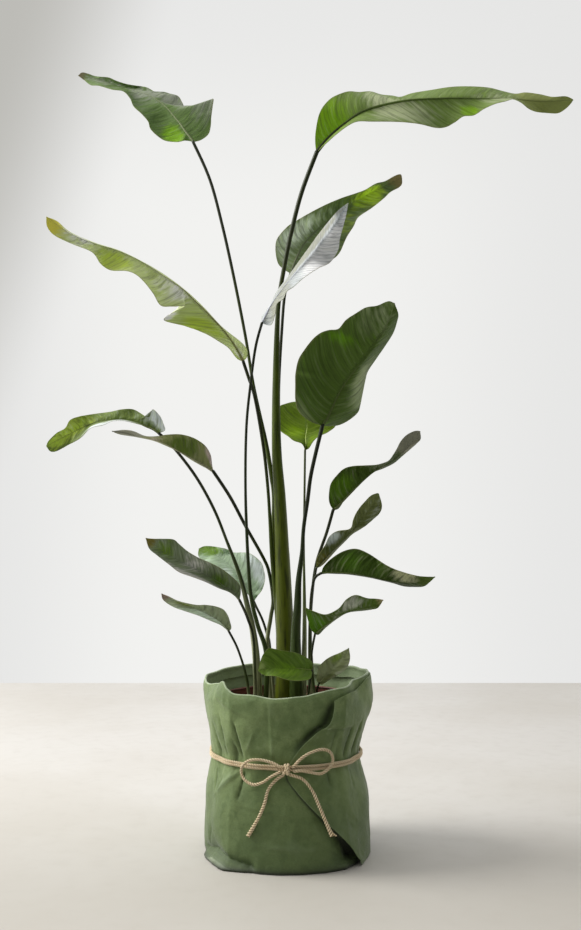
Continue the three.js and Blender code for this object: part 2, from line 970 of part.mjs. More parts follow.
// Pleats that the twine gathers: the angle of each, how deep it is and its spread.
const PLEATS = [
  [-152, 2.5, 6],
  [-120, 3, 6],
  [-88, 2.5, 5],
  [-57, 3, 5],
  [-37, 4.5, 4.5],
  [-16, 2, 6],
  [36, 3, 5],
  [58, 3, 5],
  [104, 3, 6],
  [131, 2.5, 6],
  [165, 3, 6],
];

const CORNERS = [-180, -110, -40, 40, 110, 180]; // angles of the wrap's rounded corners
const CORNER_OUT = 5.5;
const BOXINESS = 39;

const lookUp = (table, x) => {
  const places = table.map(([at]) => at);
  return through(
    table.map(([, value]) => [value]),
    places,
    x,
  )[0];
};

// How far the wrap stands out because its plan is a rounded box.
function boxy(angle) {
  const turned = ((((angle + 180) % 360) + 360) % 360) - 180;
  const i = Math.max(1, CORNERS.findIndex((at) => turned <= at));
  const [from, to] = [CORNERS[i - 1], CORNERS[i]];
  const cosine = (degrees) => Math.cos(radians(degrees));
  const share = cosine((to - from) / 2) / cosine(turned - (from + to) / 2);
  return CORNER_OUT - BOXINESS * (1 - share);
}

function wrapRadius(angle, z) {
  const free = 1 - 0.75 * bump(z, TIE_HEIGHT, 40);
  const gathered = bump(z, TIE_HEIGHT, 34);
  const pleats = PLEATS.reduce(
    (sum, [at, depth, spread]) => sum + depth * bump(angle, at, spread),
    0,
  );
  const forward = Math.cos(radians(angle));
  const spread = 8 * Math.max(0, forward) + 5 * Math.max(0, -forward);
  const foot = spread * Math.max(0, 1 - z / 110) ** 1.6;
  const tuck = 9 * bump(angle, 60, 8) * Math.max(0, (z - 235) / 45);
  const flare = 8 * (bump(angle, -116, 22) + bump(angle, 128, 22)) * Math.max(0, (z - 200) / 75);
  const fold = 9 * bump(angle, 88, 13) * bump(z, 238, 26);
  const sides = 9 * bump(angle, 88, 30) + 3 * bump(angle, -88, 30);
  const waist = sides * bump(z, TIE_HEIGHT + 4, 42);
  const outward = boxy(angle) * free + foot + flare + fold;
  return lookUp(BELLY, z) + outward - pleats * gathered - tuck - waist;
}

const onWrap = (angle, z, out, radiusAt = wrapRadius) => {
  const r = radiusAt(angle, z) + out;
  const a = radians(angle);
  return new THREE.Vector3(r * Math.sin(a), -r * Math.cos(a), z);
};

const ROUND = 48; // steps round the wrap
const LEVELS = [0, 40, 90, 136, TIE_HEIGHT - 6, TIE_HEIGHT + 6, 180, 224]; // and then the rim

// The radius of the wrap's facets, between the corners of its mesh.
function facetRadius(angle, z) {
  const step = 360 / ROUND;
  const left = Math.floor(angle / step) * step;
  const [atLeft, atRight] = [left, left + step].map((corner) => {
    const heights = [...LEVELS, lookUp(RIM, corner)];
    let i = 0;
    while (i < heights.length - 2 && z > heights[i + 1]) i++;
    const [low, high] = [heights[i], heights[i + 1]];
    const [rLow, rHigh] = [low, high].map((h) => wrapRadius(corner, h));
    return rLow + ((rHigh - rLow) * (z - low)) / (high - low);
  });
  return atLeft + ((atRight - atLeft) * (angle - left)) / step;
}

function wrapBag() {
  const columns = evenly(ROUND)
    .slice(0, ROUND)
    .map((s) => 360 * s - 180);
  const ring = (height, out) =>
    columns.map((angle) => onWrap(angle, height === null ? lookUp(RIM, angle) : height, out));
  const rings = [
    ...LEVELS.map((height) => ring(height, 0)),
    ring(null, 0),
    ring(null, -SHEET),
    ...LEVELS.slice()
      .reverse()
      .map((height) => ring(Math.max(SHEET, height), -SHEET)),
  ];
  return skin(rings);
}

const LAP_EDGE_TOP = 256;

// The corner of the wrap that laps over its front: the line of its free edge from the floor,
// by the knot, to the rim, as angle and height.
const LAP_EDGE = [
  [53, 1],
  [40, 38],
  [31, 62],
  [18, 94],
  [8.5, 118],
  [1, 140],
  [1, TIE_HEIGHT],
  [6, 178],
  [12, 194],
  [20, 210],
  [28, 222],
  [31, 238],
  [32, LAP_EDGE_TOP],
];
const LAP_END = 96; // where the corner runs into the sheet again
const TOP_ONLY = 6; // power of the way up by which the top edge's own line is taken
// The height of the corner's top edge, by angle.
const LAP_RIM = [
  [28, 255],
  [43, 266],
  [59, 267],
  [74, 280],
  [LAP_END, 279],
];

function lapOut(s, v, z) {
  const lowLift = 11 * bump(v, 0.12, 0.16) * Math.max(0, 1 - s) ** 3;
  const topLift = 5 * bump(v, 1, 0.22) * Math.max(0, 1 - s) ** 2;
  const held = 1 - bump(z, TIE_HEIGHT, 16);
  if (s > 1) return -SHEET / 2; // the seam, where it turns into the wall
  return WRAP_GAP + SHEET / 2 + (lowLift + topLift) * held;
}

function wrapLap() {
  const places = evenly(LAP_EDGE.length - 1);
  const grid = evenly(12).map((v) => {
    const [edgeAngle, edgeZ] = through(LAP_EDGE, places, v);
    const topZ = lookUp(LAP_RIM, LAP_END);
    const endZ = 1 + (topZ - 1) * v;
    return [...evenly(8), 1.02].map((s) => {
      const angle = edgeAngle + (LAP_END - edgeAngle) * s;
      const share = Math.min(1, s);
      const level = edgeZ + (endZ - edgeZ) * share;
      const straight = LAP_EDGE_TOP + (topZ - LAP_EDGE_TOP) * share;
      const above = lookUp(LAP_RIM, Math.min(angle, LAP_END)) - straight;
      const z = level + above * v ** TOP_ONLY;
      return onWrap(angle, z, lapOut(s, v, z), facetRadius);
    });
  });
  return sheet(grid, SHEET);
}

// Twine
// How far the outermost layer of the wrap stands out from its radius at the height of the twine.
function outermost(angle) {
  const onLap = angle > -3 && angle < LAP_END + 2;
  return onLap ? WRAP_GAP + SHEET + 1.2 : 0;
}

// Two turns that lie side by side, as one closed ring: its section, out from the wrap and up.
const TURNS = [
  [0, -2],
  [-1, -1],
  [-1, 1],
  [0, 2],
  [1, 1],
  [0.5, 0],
  [1, -1],
];

function twineRing() {
  const rings = evenly(ROUND)
    .slice(0, ROUND)
    .map((s) => {
      const angle = 360 * s - 180;
      const near = [-6, -3, 0, 3, 6].flatMap((d) =>
        [-5, 0, 5].map((dz) => facetRadius(angle + d, TIE_HEIGHT + dz) + outermost(angle + d)),
      );
      const clear = Math.max(...near) + TWINE_RADIUS + GAP;
      const a = radians(angle);
      return TURNS.map(([out, up]) => {
        const r = clear + out * TWINE_RADIUS;
        return new THREE.Vector3(r * Math.sin(a), -r * Math.cos(a), TIE_HEIGHT + up * TWINE_RADIUS);
      });
    });
  return skin(rings, true);
}

const KNOT = onWrap(0, TIE_HEIGHT, 9.8);
const KNOT_RADII = [9.4, 6.4, 7.2];

function twineBand() {
  const knot = new THREE.SphereGeometry(1, 8, 6);
  knot.scale(...KNOT_RADII);
  knot.deleteAttribute("uv");
  knot.deleteAttribute("normal");
  const spots = [];
  const position = knot.getAttribute("position");
  const key = new Map();
  const names = [];
  for (let i = 0; i < position.count; i++) {
    const p = new THREE.Vector3().fromBufferAttribute(position, i).add(KNOT);
    const id = [p.x, p.y, p.z].map((v) => v.toFixed(3)).join();
    if (!key.has(id)) key.set(id, spots.push(p) - 1);
    names.push(key.get(id));
  }
  const triangles = [];
  for (let i = 0; i < knot.index.count; i += 3) {
    const [a, b, c] = [0, 1, 2].map((k) => names[knot.index.getX(i + k)]);
    if (a !== b && b !== c && c !== a) triangles.push([a, b, c]);
  }
  return twineRing().add(solid(spots, triangles));
}

// The bow's loose lengths: points as x, z beside the knot and how far they stand off the wrap.
const BOW = {
  bow_loop_left: [
    [-9.4, 3, 10],
    [-22, 9, 9],
    [-40, 13, 11],
    [-56, 11, 12],
    [-66, 2, 12],
    [-68, -9, 11],
    [-62, -19, 11],
    [-50, -24, 12],
    [-37, -20, 13],
    [-24, -11, 13],
    [-9.4, -3.6, 10.5],
  ],
  bow_loop_right: [
    [9.4, 3, 10],
    [20, 15, 11],
    [33, 24, 13],
    [50, 29, 14],
    [63, 25, 14],
    [69, 13, 13],
    [66, 1, 12],
    [52, -8, 12],
    [36, -5, 13],
    [22, -2, 12],
    [9.4, -3, 10.5],
  ],
  bow_tail_left: [
    [-4.2, -8, 9.6],
    [-16, -16, 9],
    [-28, -32, 7],
    [-33, -52, 5.5],
    [-42, -74, 4.6],
    [-57, -102, 4.2],
  ],
  bow_tail_right: [
    [4.2, -8, 9.6],
    [24, -15, 11],
    [38, -32, 13],
    [47, -52, 15],
    [54, -69, 17],
    [66, -98, 21],
  ],
};

function bowPath(rows) {
  const points = rows.map(([x, dz, out]) => {
    const z = TIE_HEIGHT + dz;
    const angle = THREE.MathUtils.radToDeg(Math.asin(x / (wrapRadius(0, z) + out)));
    return onWrap(angle, z, out);
  });
  const places = spaced(points);
  const values = points.map((p) => [p.x, p.y, p.z]);
  return evenly(14).map((t) => new THREE.Vector3(...through(values, places, t)));
}

// Pot and soil
function turned(profile, steps) {
  const rings = profile.map(([r, z]) =>
    evenly(steps)
      .slice(0, steps)
      .map((s) => {
        const a = 2 * Math.PI * s;
        return new THREE.Vector3(r * Math.cos(a), r * Math.sin(a), z);
      }),
  );
  return skin(rings);
}

const POT_FLOOR = SHEET + GAP;
const POT_FOOT_RADIUS = 96;
const potRadius = (z) =>
  POT_FOOT_RADIUS + ((POT_RIM_RADIUS - 3 - POT_FOOT_RADIUS) * (z - POT_FLOOR)) / POT_RIM_HEIGHT;

function nurseryPot() {
  const under = POT_RIM_HEIGHT - 16;
  return turned(
    [
      [potRadius(POT_FLOOR), POT_FLOOR],
      [potRadius(under), under],
      [POT_RIM_RADIUS, under + 1],
      [POT_RIM_RADIUS, POT_RIM_HEIGHT],
      [POT_RIM_RADIUS - POT_WALL, POT_RIM_HEIGHT],
      [potRadius(under) - POT_WALL, under - 2],
      [potRadius(POT_FLOOR + POT_WALL) - POT_WALL, POT_FLOOR + POT_WALL],
    ],
    40,
  );
}

function soilBody() {
  const edge = potRadius(SOIL_TOP) - POT_WALL - 4;
  const body = turned(
    [
      [potRadius(SOIL_BOTTOM) - POT_WALL - 1, SOIL_BOTTOM],
      [edge, SOIL_TOP - 4],
      [edge - 6, SOIL_TOP - 1],
      [30, SOIL_TOP],
    ],
    32,
  );
  return LEAVES.reduce((soil, leaf) => soil.subtract(clearance(leaf, STALK_GAP)), body);
}

// The part
const plant = new THREE.Group();
plant.name = "potted_bird_of_paradise";

function add(name, body, color, roughness) {
  const mesh = body.getMesh();
  const geometry = new THREE.BufferGeometry();
  geometry.setAttribute("position", new THREE.BufferAttribute(mesh.vertProperties, 3));
  geometry.setIndex(new THREE.BufferAttribute(mesh.triVerts, 1));
  geometry.computeVertexNormals();
  const material = new THREE.MeshStandardMaterial({ color, roughness, metalness: 0 });
  const node = new THREE.Mesh(geometry, material);
  node.name = name;
  plant.add(node);
}

add("wrap", largest(wrapBag().add(wrapLap())), WRAP_GREEN, 0.85);
add("nursery_pot", nurseryPot(), POT_BROWN, 0.6);
add("soil", soilBody(), SOIL_BROWN, 0.95);
add("twine_band", twineBand(), TWINE_BROWN, 0.9);
for (const [name, rows] of Object.entries(BOW)) {
  const path = bowPath(rows);
  add(name, tube(path, path.map(() => TWINE_RADIUS), 8), TWINE_BROWN, 0.9);
}

// Each leaf clasps the stalks that stand inside it.
LEAVES.forEach((leaf, i) => {
  const inner = LEAVES.slice(0, i);
  const body = inner.reduce((s, other) => s.subtract(clearance(other, STALK_GAP)), leafSolid(leaf));
  add(leaf.name, largest(body), leaf.colour, 0.45);
});

export default plant;
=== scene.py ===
import math

import bmesh
import bpy
import numpy as np
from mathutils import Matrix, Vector


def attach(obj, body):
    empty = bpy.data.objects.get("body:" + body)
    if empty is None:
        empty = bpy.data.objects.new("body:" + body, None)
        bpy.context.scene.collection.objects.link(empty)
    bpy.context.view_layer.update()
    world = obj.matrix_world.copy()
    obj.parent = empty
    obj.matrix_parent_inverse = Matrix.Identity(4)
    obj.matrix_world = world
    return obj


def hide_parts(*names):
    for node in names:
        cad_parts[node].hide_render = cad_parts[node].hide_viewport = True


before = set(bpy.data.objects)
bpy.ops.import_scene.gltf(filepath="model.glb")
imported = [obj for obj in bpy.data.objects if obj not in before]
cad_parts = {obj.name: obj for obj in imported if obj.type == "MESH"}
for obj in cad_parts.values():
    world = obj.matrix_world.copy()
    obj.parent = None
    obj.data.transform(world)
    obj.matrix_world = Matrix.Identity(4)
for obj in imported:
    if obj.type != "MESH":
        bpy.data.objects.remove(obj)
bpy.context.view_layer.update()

MM = 0.001  # metres in a millimetre
BODY = "root"  # the one body that every piece rides on

# Driving dimensions, in millimetres
SHEET = 2.0  # room that one layer of the wrap takes
WRAP_GAP = 0.6  # between two layers of the wrap
CLEARANCE = 0.3  # between pieces that rest on one another
CLOTH = 1.0  # thickness of the wrap's cloth
TIE_HEIGHT = 158.0
TWINE_RADIUS = 2.1
POT_RIM_HEIGHT = 242.0
POT_RIM_RADIUS = 116.0
POT_WALL = 1.8
SOIL_TOP = 225.0
SOIL_BOTTOM = 6.0
BLADE_THICKNESS = 0.7
ROOT_DEPTH = 32.0

# The leaves are laid out in the front view, at the pot's middle plane, and each point is then
# moved back or forward along the line from the eye.
EYE = np.array((5.6, -2000.0, 613.0))

# The photograph's height and its focal length, in pixels
PHOTO_HEIGHT = 930
FOCAL_LENGTH = 1250
SENSOR_WIDTH = 36  # along the photograph's long side, in millimetres

# The leaves' shapes. foot: where the stalk meets the soil, x and y. radii: of the stalk at the foot
# and at the blade. swell: the share of the stalk over which it thins. half_width: of the blade where
# it is widest. stalk and rib rows: x, z in the front view, and depth y. left and right: the blade's
# two edges in the front view, looking along the rib from the stalk. lean: whether the part of each
# half that isn't seen comes towards the eye (1) or turns away from it (-1). wave: height and number
# of the waves along the blade.
# Their looks. stem: the kind of the stalk's skin. main, bright, grey and tip: colours of the blade,
# as they are seen; bright is painted light, and grey is painted sheen (on leaf_silver, painted shade).
# tip_from: where along the blade the tip's colour starts. veins: how dark the side veins are. rib_out:
# how far the midrib stands out, as a share of its radius. rib_taper: how soon it thins. rib_to: where
# its colour ends. spots: where light or sheen is painted on a blade, as the place along it and across
# it (-1 to 1 from left to right), the spread along and across, and the strength, which is above 0 for
# the painted light (bright) and below 0 for the painted sheen (grey).
LEAVES = [dict(
    node="leaf_top_right", foot=(-2, 2), radii=(17.5, 3.8), swell=0.72, half_width=58, lean=(-1, 1),
    wave=(3, 5), stem="trunk",
    stalk=[(-3, 333, 5), (-7, 461, 8), (-11, 560, 8), (-16, 637, 8), (-17, 749, 8), (-14, 861, 8),
        (-5, 925, 6), (8, 989, 4), (24, 1050, 2)],
    rib=[(48, 1114, 0), (61, 1130, 4), (78, 1147, 10), (98, 1163, 18), (118, 1177, 26), (146, 1187, 36),
        (189, 1196, 50), (229, 1199, 62), (269, 1200, 72), (309, 1199, 82), (357, 1199, 90),
        (405, 1195, 96), (458, 1197, 100)],
    left=[(46, 1119), (45, 1136), (47, 1155), (51, 1173), (58, 1187), (69, 1199), (82, 1206), (98, 1211),
        (115, 1210), (133, 1211), (150, 1206), (168, 1204), (181, 1202), (200, 1208), (229, 1213),
        (261, 1218), (290, 1219), (322, 1217), (346, 1211), (365, 1207), (382, 1209), (405, 1206),
        (424, 1202), (445, 1203), (456, 1199)],
    right=[(62, 1127), (80, 1143), (99, 1157), (114, 1163), (136, 1163), (165, 1163), (189, 1162),
        (213, 1159), (238, 1153), (254, 1154), (269, 1162), (282, 1171), (299, 1173), (315, 1183),
        (333, 1191), (349, 1195), (365, 1199), (376, 1192), (387, 1183), (400, 1178), (418, 1176),
        (434, 1176), (446, 1183), (454, 1191)],
    main=(92, 112, 52), bright=(98, 132, 16), grey=(136, 146, 108), tip=(104, 114, 60), tip_from=0.78,
    rib_colour=(34, 40, 20), rib_out=0.4, rib_taper=1.2, rib_to=0.42,
    spots=[(0.1, -0.6, 0.1, 0.9, 1), (0.6, 0.75, 0.035, 0.4, 1), (0.36, 0.5, 0.12, 0.6, -0.7),
        (0.74, 0.3, 0.1, 1, -0.6), (0.32, -0.4, 0.06, 0.8, -0.7)],
), dict(
    node="leaf_top_left", foot=(-6, 32), radii=(7, 2.7), half_width=52, lean=(1, 1), wave=(2.5, 3),
    stem="clasping",
    stalk=[(-8, 333, 32), (-21, 461, 30), (-20, 557, 30), (-24, 592, 30), (-29, 624, 31), (-35, 656, 32),
        (-53, 738, 34), (-66, 817, 38), (-84, 909, 44), (-103, 995, 50), (-123, 1069, 56)],
    rib=[(-150, 1130, 62), (-157, 1139, 66), (-163, 1147, 70), (-171, 1159, 76), (-177, 1166, 80),
        (-194, 1186, 92), (-216, 1202, 106), (-238, 1211, 118), (-259, 1216, 128), (-294, 1227, 140),
        (-334, 1236, 148)],
    left=[(-163, 1132), (-176, 1130), (-194, 1132), (-206, 1139), (-218, 1151), (-222, 1163), (-232, 1175),
        (-245, 1187), (-251, 1200), (-262, 1211), (-280, 1214), (-301, 1220), (-314, 1221), (-325, 1229)],
    right=[(-138, 1133), (-126, 1142), (-122, 1155), (-121, 1170), (-119, 1186), (-118, 1199),
        (-128, 1191), (-139, 1188), (-150, 1181), (-162, 1181), (-167, 1192), (-174, 1203), (-187, 1207),
        (-198, 1210), (-211, 1210), (-224, 1217), (-243, 1220), (-259, 1223), (-274, 1228), (-286, 1233),
        (-306, 1235), (-318, 1239), (-328, 1241)],
    main=(82, 104, 54), bright=(100, 136, 26), grey=(118, 126, 104), tip=(92, 90, 62), tip_from=0.93,
    rib_colour=(112, 124, 84),
    spots=[(0.16, -0.7, 0.1, 0.5, 0.9), (0.34, 0.8, 0.16, 0.6, -0.8), (0.1, 0.7, 0.08, 0.4, -0.1),
        (0.55, 0.2, 0.14, 1, -0.7), (0.84, 0, 0.12, 1, -0.5)],
), dict(
    node="leaf_mid_left", foot=(-14, 19), radii=(7, 2.8), half_width=54, lean=(1, -1), wave=(3, 4),
    stem="clasping",
    stalk=[(-12, 333, 18), (-23, 461, 14), (-27, 525, 12), (-31, 583, 8), (-38, 645, 0), (-51, 720, -10),
        (-62, 755, -14)],
    rib=[(-70, 779, -18), (-80, 797, -24), (-90, 813, -28), (-104, 831, -34), (-133, 862, -44),
        (-147, 875, -49), (-162, 890, -54), (-179, 903, -60), (-197, 915, -66), (-229, 936, -76),
        (-268, 955, -86), (-306, 967, -94), (-346, 983, -102), (-385, 1010, -108)],
    left=[(-80, 783), (-93, 800), (-109, 811), (-130, 823), (-162, 835), (-197, 845), (-178, 859),
        (-163, 867), (-184, 867), (-202, 869), (-214, 888), (-229, 907), (-243, 919), (-258, 924),
        (-282, 925), (-298, 935), (-307, 949), (-318, 957), (-347, 968), (-373, 981), (-384, 995)],
    right=[(-64, 786), (-64, 797), (-74, 810), (-104, 834), (-133, 865), (-162, 892), (-197, 918),
        (-229, 937), (-268, 956), (-306, 968), (-346, 985), (-368, 1003)],
    main=(144, 156, 104), bright=(140, 156, 64), grey=(184, 190, 160), tip=(150, 152, 70), tip_from=0.9,
    rib_colour=(120, 124, 76),
    spots=[(0.7, -0.6, 0.07, 0.5, 1), (0.2, -0.6, 0.08, 0.5, 0.9), (0.42, -0.3, 0.12, 0.6, -0.6),
        (0.32, -0.9, 0.03, 0.3, -1), (0.85, 0, 0.08, 1, -0.6), (0.04, 0, 0.05, 1, -0.5)],
), dict(
    node="leaf_upper_back", foot=(11, 25), radii=(8, 2.6), half_width=52, lean=(1, 1), wave=(2.5, 3),
    stalk=[(6, 333, 28), (-2, 461, 30), (-6, 560, 30), (-11, 637, 28), (-13, 730, 28), (-8, 830, 30),
        (-3, 888, 36)],
    rib=[(6, 919, 44), (10, 931, 50), (19, 952, 60), (30, 970, 70), (51, 991, 84), (77, 1011, 98),
        (104, 1031, 112), (133, 1048, 124), (160, 1062, 134), (184, 1072, 140)],
    left=[(-6, 927), (-14, 935), (-18, 951), (-18, 967), (-13, 979), (2, 995), (18, 1005), (37, 1016),
        (62, 1029), (88, 1040), (109, 1047), (125, 1053), (142, 1063), (157, 1067), (173, 1076),
        (182, 1078)],
    right=[(21, 917), (40, 925), (62, 936), (77, 945), (85, 954), (90, 965), (96, 979), (106, 995),
        (114, 1010), (136, 1025), (155, 1040), (166, 1050), (179, 1057), (184, 1063)],
    main=(94, 110, 70), bright=(146, 164, 68), grey=(160, 170, 148), tip=(112, 108, 72), tip_from=0.9,
    rib_colour=(90, 98, 70),
    spots=[(0.76, 0, 0.1, 1, 1), (0.3, -0.6, 0.2, 0.5, -0.7), (0.5, 0.5, 0.1, 0.6, 0.4)],
), dict(
    node="leaf_silver", foot=(-34, -14), radii=(4.5, 2.3), half_width=34, lean=(-1, 1), wave=(1.5, 2),
    stem="dark",
    stalk=[(-33, 309, -18), (-47, 357, -24), (-56, 394, -28), (-61, 440, -34), (-66, 560, -42),
        (-65, 669, -44), (-58, 744, -46), (-50, 802, -48)],
    rib=[(-40, 840, -50), (-27, 866, -53), (-10, 891, -56), (13, 919, -60), (38, 947, -64), (61, 976, -68),
        (82, 1005, -72), (98, 1032, -76)],
    left=[(-40, 851), (-34, 859), (-27, 869), (-16, 891), (2, 915), (17, 936), (38, 965), (51, 983),
        (77, 1015), (90, 1027)],
    right=[(-26, 837), (-19, 855), (-16, 871), (-6, 879), (0, 891), (10, 898), (27, 913), (50, 928),
        (69, 937), (82, 957), (85, 976), (94, 1010)],
    main=(142, 150, 138), bright=(198, 206, 188), grey=(120, 125, 104), tip=(164, 176, 144), tip_from=0.97,
    veins=0.55, rib_colour=(150, 156, 150),
    spots=[(0.64, 0.6, 0.26, 0.8, 1.2), (0.62, -0.6, 0.3, 0.5, -1.1), (0.22, 0.5, 0.17, 0.9, -1.0)],
), dict(
    node="leaf_broad", foot=(15, -18), radii=(13, 3.2), half_width=80, lean=(1, -1), wave=(2.5, 4),
    stem="dark",
    stalk=[(14, 333, -36), (17, 384, -50), (19, 429, -62), (24, 472, -74), (27, 514, -84), (33, 555, -92),
        (38, 594, -100), (46, 631, -108)],
    rib=[(57, 676, -116), (61, 683, -118), (66, 691, -120), (75, 711, -126), (86, 733, -134),
        (101, 755, -142), (122, 781, -152), (141, 807, -162), (157, 831, -172), (168, 855, -180),
        (172, 872, -186)],
    left=[(50, 678), (37, 683), (24, 693), (17, 704), (14, 720), (14, 741), (14, 762), (18, 781),
        (26, 795), (40, 813), (53, 824), (67, 829), (82, 831), (94, 845), (109, 855), (126, 865),
        (144, 868), (158, 874), (165, 875), (171, 872)],
    right=[(69, 675), (85, 677), (101, 685), (114, 696), (118, 707), (122, 728), (126, 749), (130, 763),
        (144, 784), (157, 803), (170, 824), (176, 842), (178, 855)],
    main=(64, 84, 30), bright=(76, 112, 12), grey=(112, 124, 86), tip=(84, 92, 56), tip_from=0.97,
    rib_colour=(70, 84, 40),
    spots=[(0.62, -0.7, 0.06, 0.4, 0.6), (0.42, 0.7, 0.18, 0.45, -0.9), (0.12, -0.95, 0.12, 0.25, -0.6),
        (0.86, -0.4, 0.14, 0.8, -0.5), (0.02, 0.5, 0.05, 0.6, 0.4)],
), dict(
    node="leaf_pale_back", foot=(26, 16), radii=(6, 2), half_width=46, lean=(1, 1), wave=(2, 2),
    stem="pale",
    stalk=[(28, 333, 28), (28, 397, 44), (27, 493, 58), (28, 557, 68)],
    rib=[(29, 637, 84), (30, 647, 92), (30, 658, 104), (32, 672, 120), (32, 688, 138), (29, 703, 156),
        (24, 714, 174)],
    left=[(24, 647), (11, 652), (2, 659), (-10, 667), (-18, 679), (-19, 693), (-13, 706), (-2, 711),
        (11, 714)],
    right=[(35, 640), (42, 651), (51, 659), (66, 666), (78, 677), (70, 693), (53, 709)],
    main=(64, 84, 8), bright=(84, 110, 4), grey=(104, 118, 50), tip=(130, 150, 60), tip_from=0.97,
    rib_colour=(150, 168, 90),
    spots=[(0.3, -0.5, 0.2, 0.5, 0.7), (0.2, 0.8, 0.2, 0.4, 0.4)],
), dict(
    node="leaf_left_arch", foot=(-46, 10), radii=(8, 2.6), half_width=32, lean=(1, -1), wave=(2, 4),
    stalk=[(-49, 300, 10), (-54, 345, 10), (-61, 378, 10), (-75, 435, 10), (-96, 491, 12), (-117, 543, 12),
        (-146, 595, 12), (-182, 642, 14)],
    rib=[(-205, 664, 16), (-214, 670, 18), (-226, 675, 19), (-240, 681, 20), (-259, 685, 22),
        (-283, 685, 23), (-306, 681, 23), (-325, 674, 22), (-345, 664, 20), (-363, 655, 17),
        (-385, 643, 12)],
    left=[(-214, 671), (-226, 675), (-240, 679), (-252, 682), (-264, 684), (-280, 683), (-294, 677),
        (-314, 672), (-331, 656), (-350, 645), (-369, 635), (-379, 635)],
    right=[(-195, 669), (-198, 680), (-203, 691), (-214, 702), (-218, 695), (-221, 687), (-230, 693),
        (-246, 702), (-264, 702), (-283, 698), (-306, 695), (-331, 691), (-347, 685), (-355, 672),
        (-369, 664), (-382, 651)],
    main=(84, 100, 48), bright=(134, 152, 62), grey=(160, 168, 156), tip=(116, 136, 60), tip_from=0.96,
    rib_colour=(70, 80, 40), rib_out=0.2,
    spots=[(0.12, 0.85, 0.1, 0.5, -1.2), (0.82, 0.2, 0.2, 1, 1), (0.45, -0.95, 0.2, 0.5, -1.2),
        (0.3, -0.4, 0.2, 0.5, -0.2)],
), dict(
    node="leaf_left_low_arch", foot=(-27, 26), radii=(4.5, 2.8), half_width=30, lean=(-1, 1),
    wave=(1.5, 3),
    stalk=[(-32, 320, 40), (-26, 368, 42), (-22, 397, 40), (-28, 439, 30), (-37, 463, 18), (-66, 515, -8),
        (-91, 562, -26)],
    rib=[(-118, 603, -40), (-131, 611, -44), (-150, 622, -49), (-173, 635, -54), (-195, 647, -58),
        (-219, 655, -62), (-243, 660, -65), (-264, 665, -67), (-280, 667, -68)],
    left=[(-133, 610), (-151, 620), (-173, 634), (-194, 644), (-214, 652), (-242, 658), (-267, 662)],
    right=[(-120, 615), (-122, 629), (-130, 643), (-143, 653), (-157, 659), (-173, 662), (-194, 661),
        (-205, 659), (-226, 659), (-246, 667), (-262, 669)],
    main=(108, 116, 72), bright=(80, 98, 36), grey=(146, 142, 126), tip=(108, 112, 92), tip_from=0.72,
    rib_colour=(120, 124, 90),
    spots=[(0.36, 0.4, 0.14, 0.6, 0.9), (0.1, 0.9, 0.12, 0.3, -0.9), (0.62, 0, 0.1, 1, -0.5)],
), dict(
    node="leaf_lower_left", foot=(-50, -14), radii=(4, 2.3), half_width=26, lean=(1, 1), wave=(1.5, 3),
    stalk=[(-53, 328, -30), (-63, 368, -46)],
    rib=[(-76, 397, -56), (-83, 405, -60), (-93, 414, -66), (-118, 431, -78), (-144, 446, -90),
        (-170, 459, -100), (-194, 473, -108), (-211, 485, -113), (-226, 496, -116)],
    left=[(-83, 403), (-93, 410), (-109, 416), (-130, 426), (-151, 434), (-173, 442), (-190, 455),
        (-210, 470), (-221, 480)],
    right=[(-74, 410), (-77, 423), (-98, 442), (-120, 455), (-141, 464), (-159, 475), (-173, 487),
        (-182, 494), (-200, 495), (-214, 495)],
    main=(102, 114, 84), bright=(84, 108, 36), grey=(150, 154, 138), tip=(92, 90, 40), tip_from=0.9,
    veins=0.5, rib_colour=(110, 118, 90),
    spots=[(0.8, 0, 0.1, 1, 0.7), (0.5, 0.3, 0.18, 0.9, -0.6), (0.45, -0.95, 0.3, 0.25, -0.9),
        (0.28, 0.1, 0.12, 0.7, 0.7)],
), dict(
    node="leaf_lower_left_back", foot=(-22, 42), radii=(4, 2.2), half_width=40, lean=(1, 1), wave=(2, 2),
    stalk=[(-27, 322, 50), (-32, 343, 52), (-39, 365, 52), (-49, 386, 52)],
    rib=[(-53, 395, 54), (-61, 411, 60), (-70, 427, 68), (-82, 443, 78), (-98, 458, 90), (-117, 471, 102),
        (-131, 477, 110), (-141, 479, 114)],
    left=[(-66, 410), (-82, 423), (-104, 439), (-125, 453), (-141, 466)],
    right=[(-46, 405), (-39, 415), (-35, 431), (-37, 445), (-42, 458), (-58, 471), (-72, 473), (-85, 473),
        (-98, 479), (-120, 483), (-133, 483)],
    main=(122, 140, 110), bright=(84, 112, 34), grey=(164, 180, 164), tip=(84, 108, 44), tip_from=0.9,
    rib_colour=(120, 134, 100),
    spots=[(0.86, 0.3, 0.12, 0.8, 1), (0.35, 0.8, 0.2, 0.4, -0.8), (0.5, -0.6, 0.2, 0.5, -0.4)],
), dict(
    node="leaf_small_left", foot=(-60, -2), radii=(3.6, 2), half_width=17, lean=(1, 1), wave=(1, 2),
    stalk=[(-64, 270, -8), (-78, 317, -14)],
    rib=[(-93, 347, -20), (-104, 360, -26), (-120, 371, -34), (-141, 381, -42), (-163, 389, -50),
        (-182, 397, -56), (-201, 407, -60)],
    left=[(-98, 351), (-106, 357), (-120, 363), (-141, 372), (-162, 379), (-182, 386), (-198, 397)],
    right=[(-89, 352), (-91, 362), (-95, 373), (-102, 382), (-115, 387), (-130, 389), (-146, 389),
        (-173, 395), (-190, 403)],
    main=(124, 134, 104), bright=(112, 124, 62), grey=(160, 172, 150), tip=(112, 106, 86), tip_from=0.88,
    rib_colour=(110, 114, 80),
    spots=[(0.7, 0, 0.14, 1, 0.6), (0.35, -0.6, 0.3, 0.6, -1), (0.6, -0.8, 0.2, 0.5, -0.8)],
), dict(
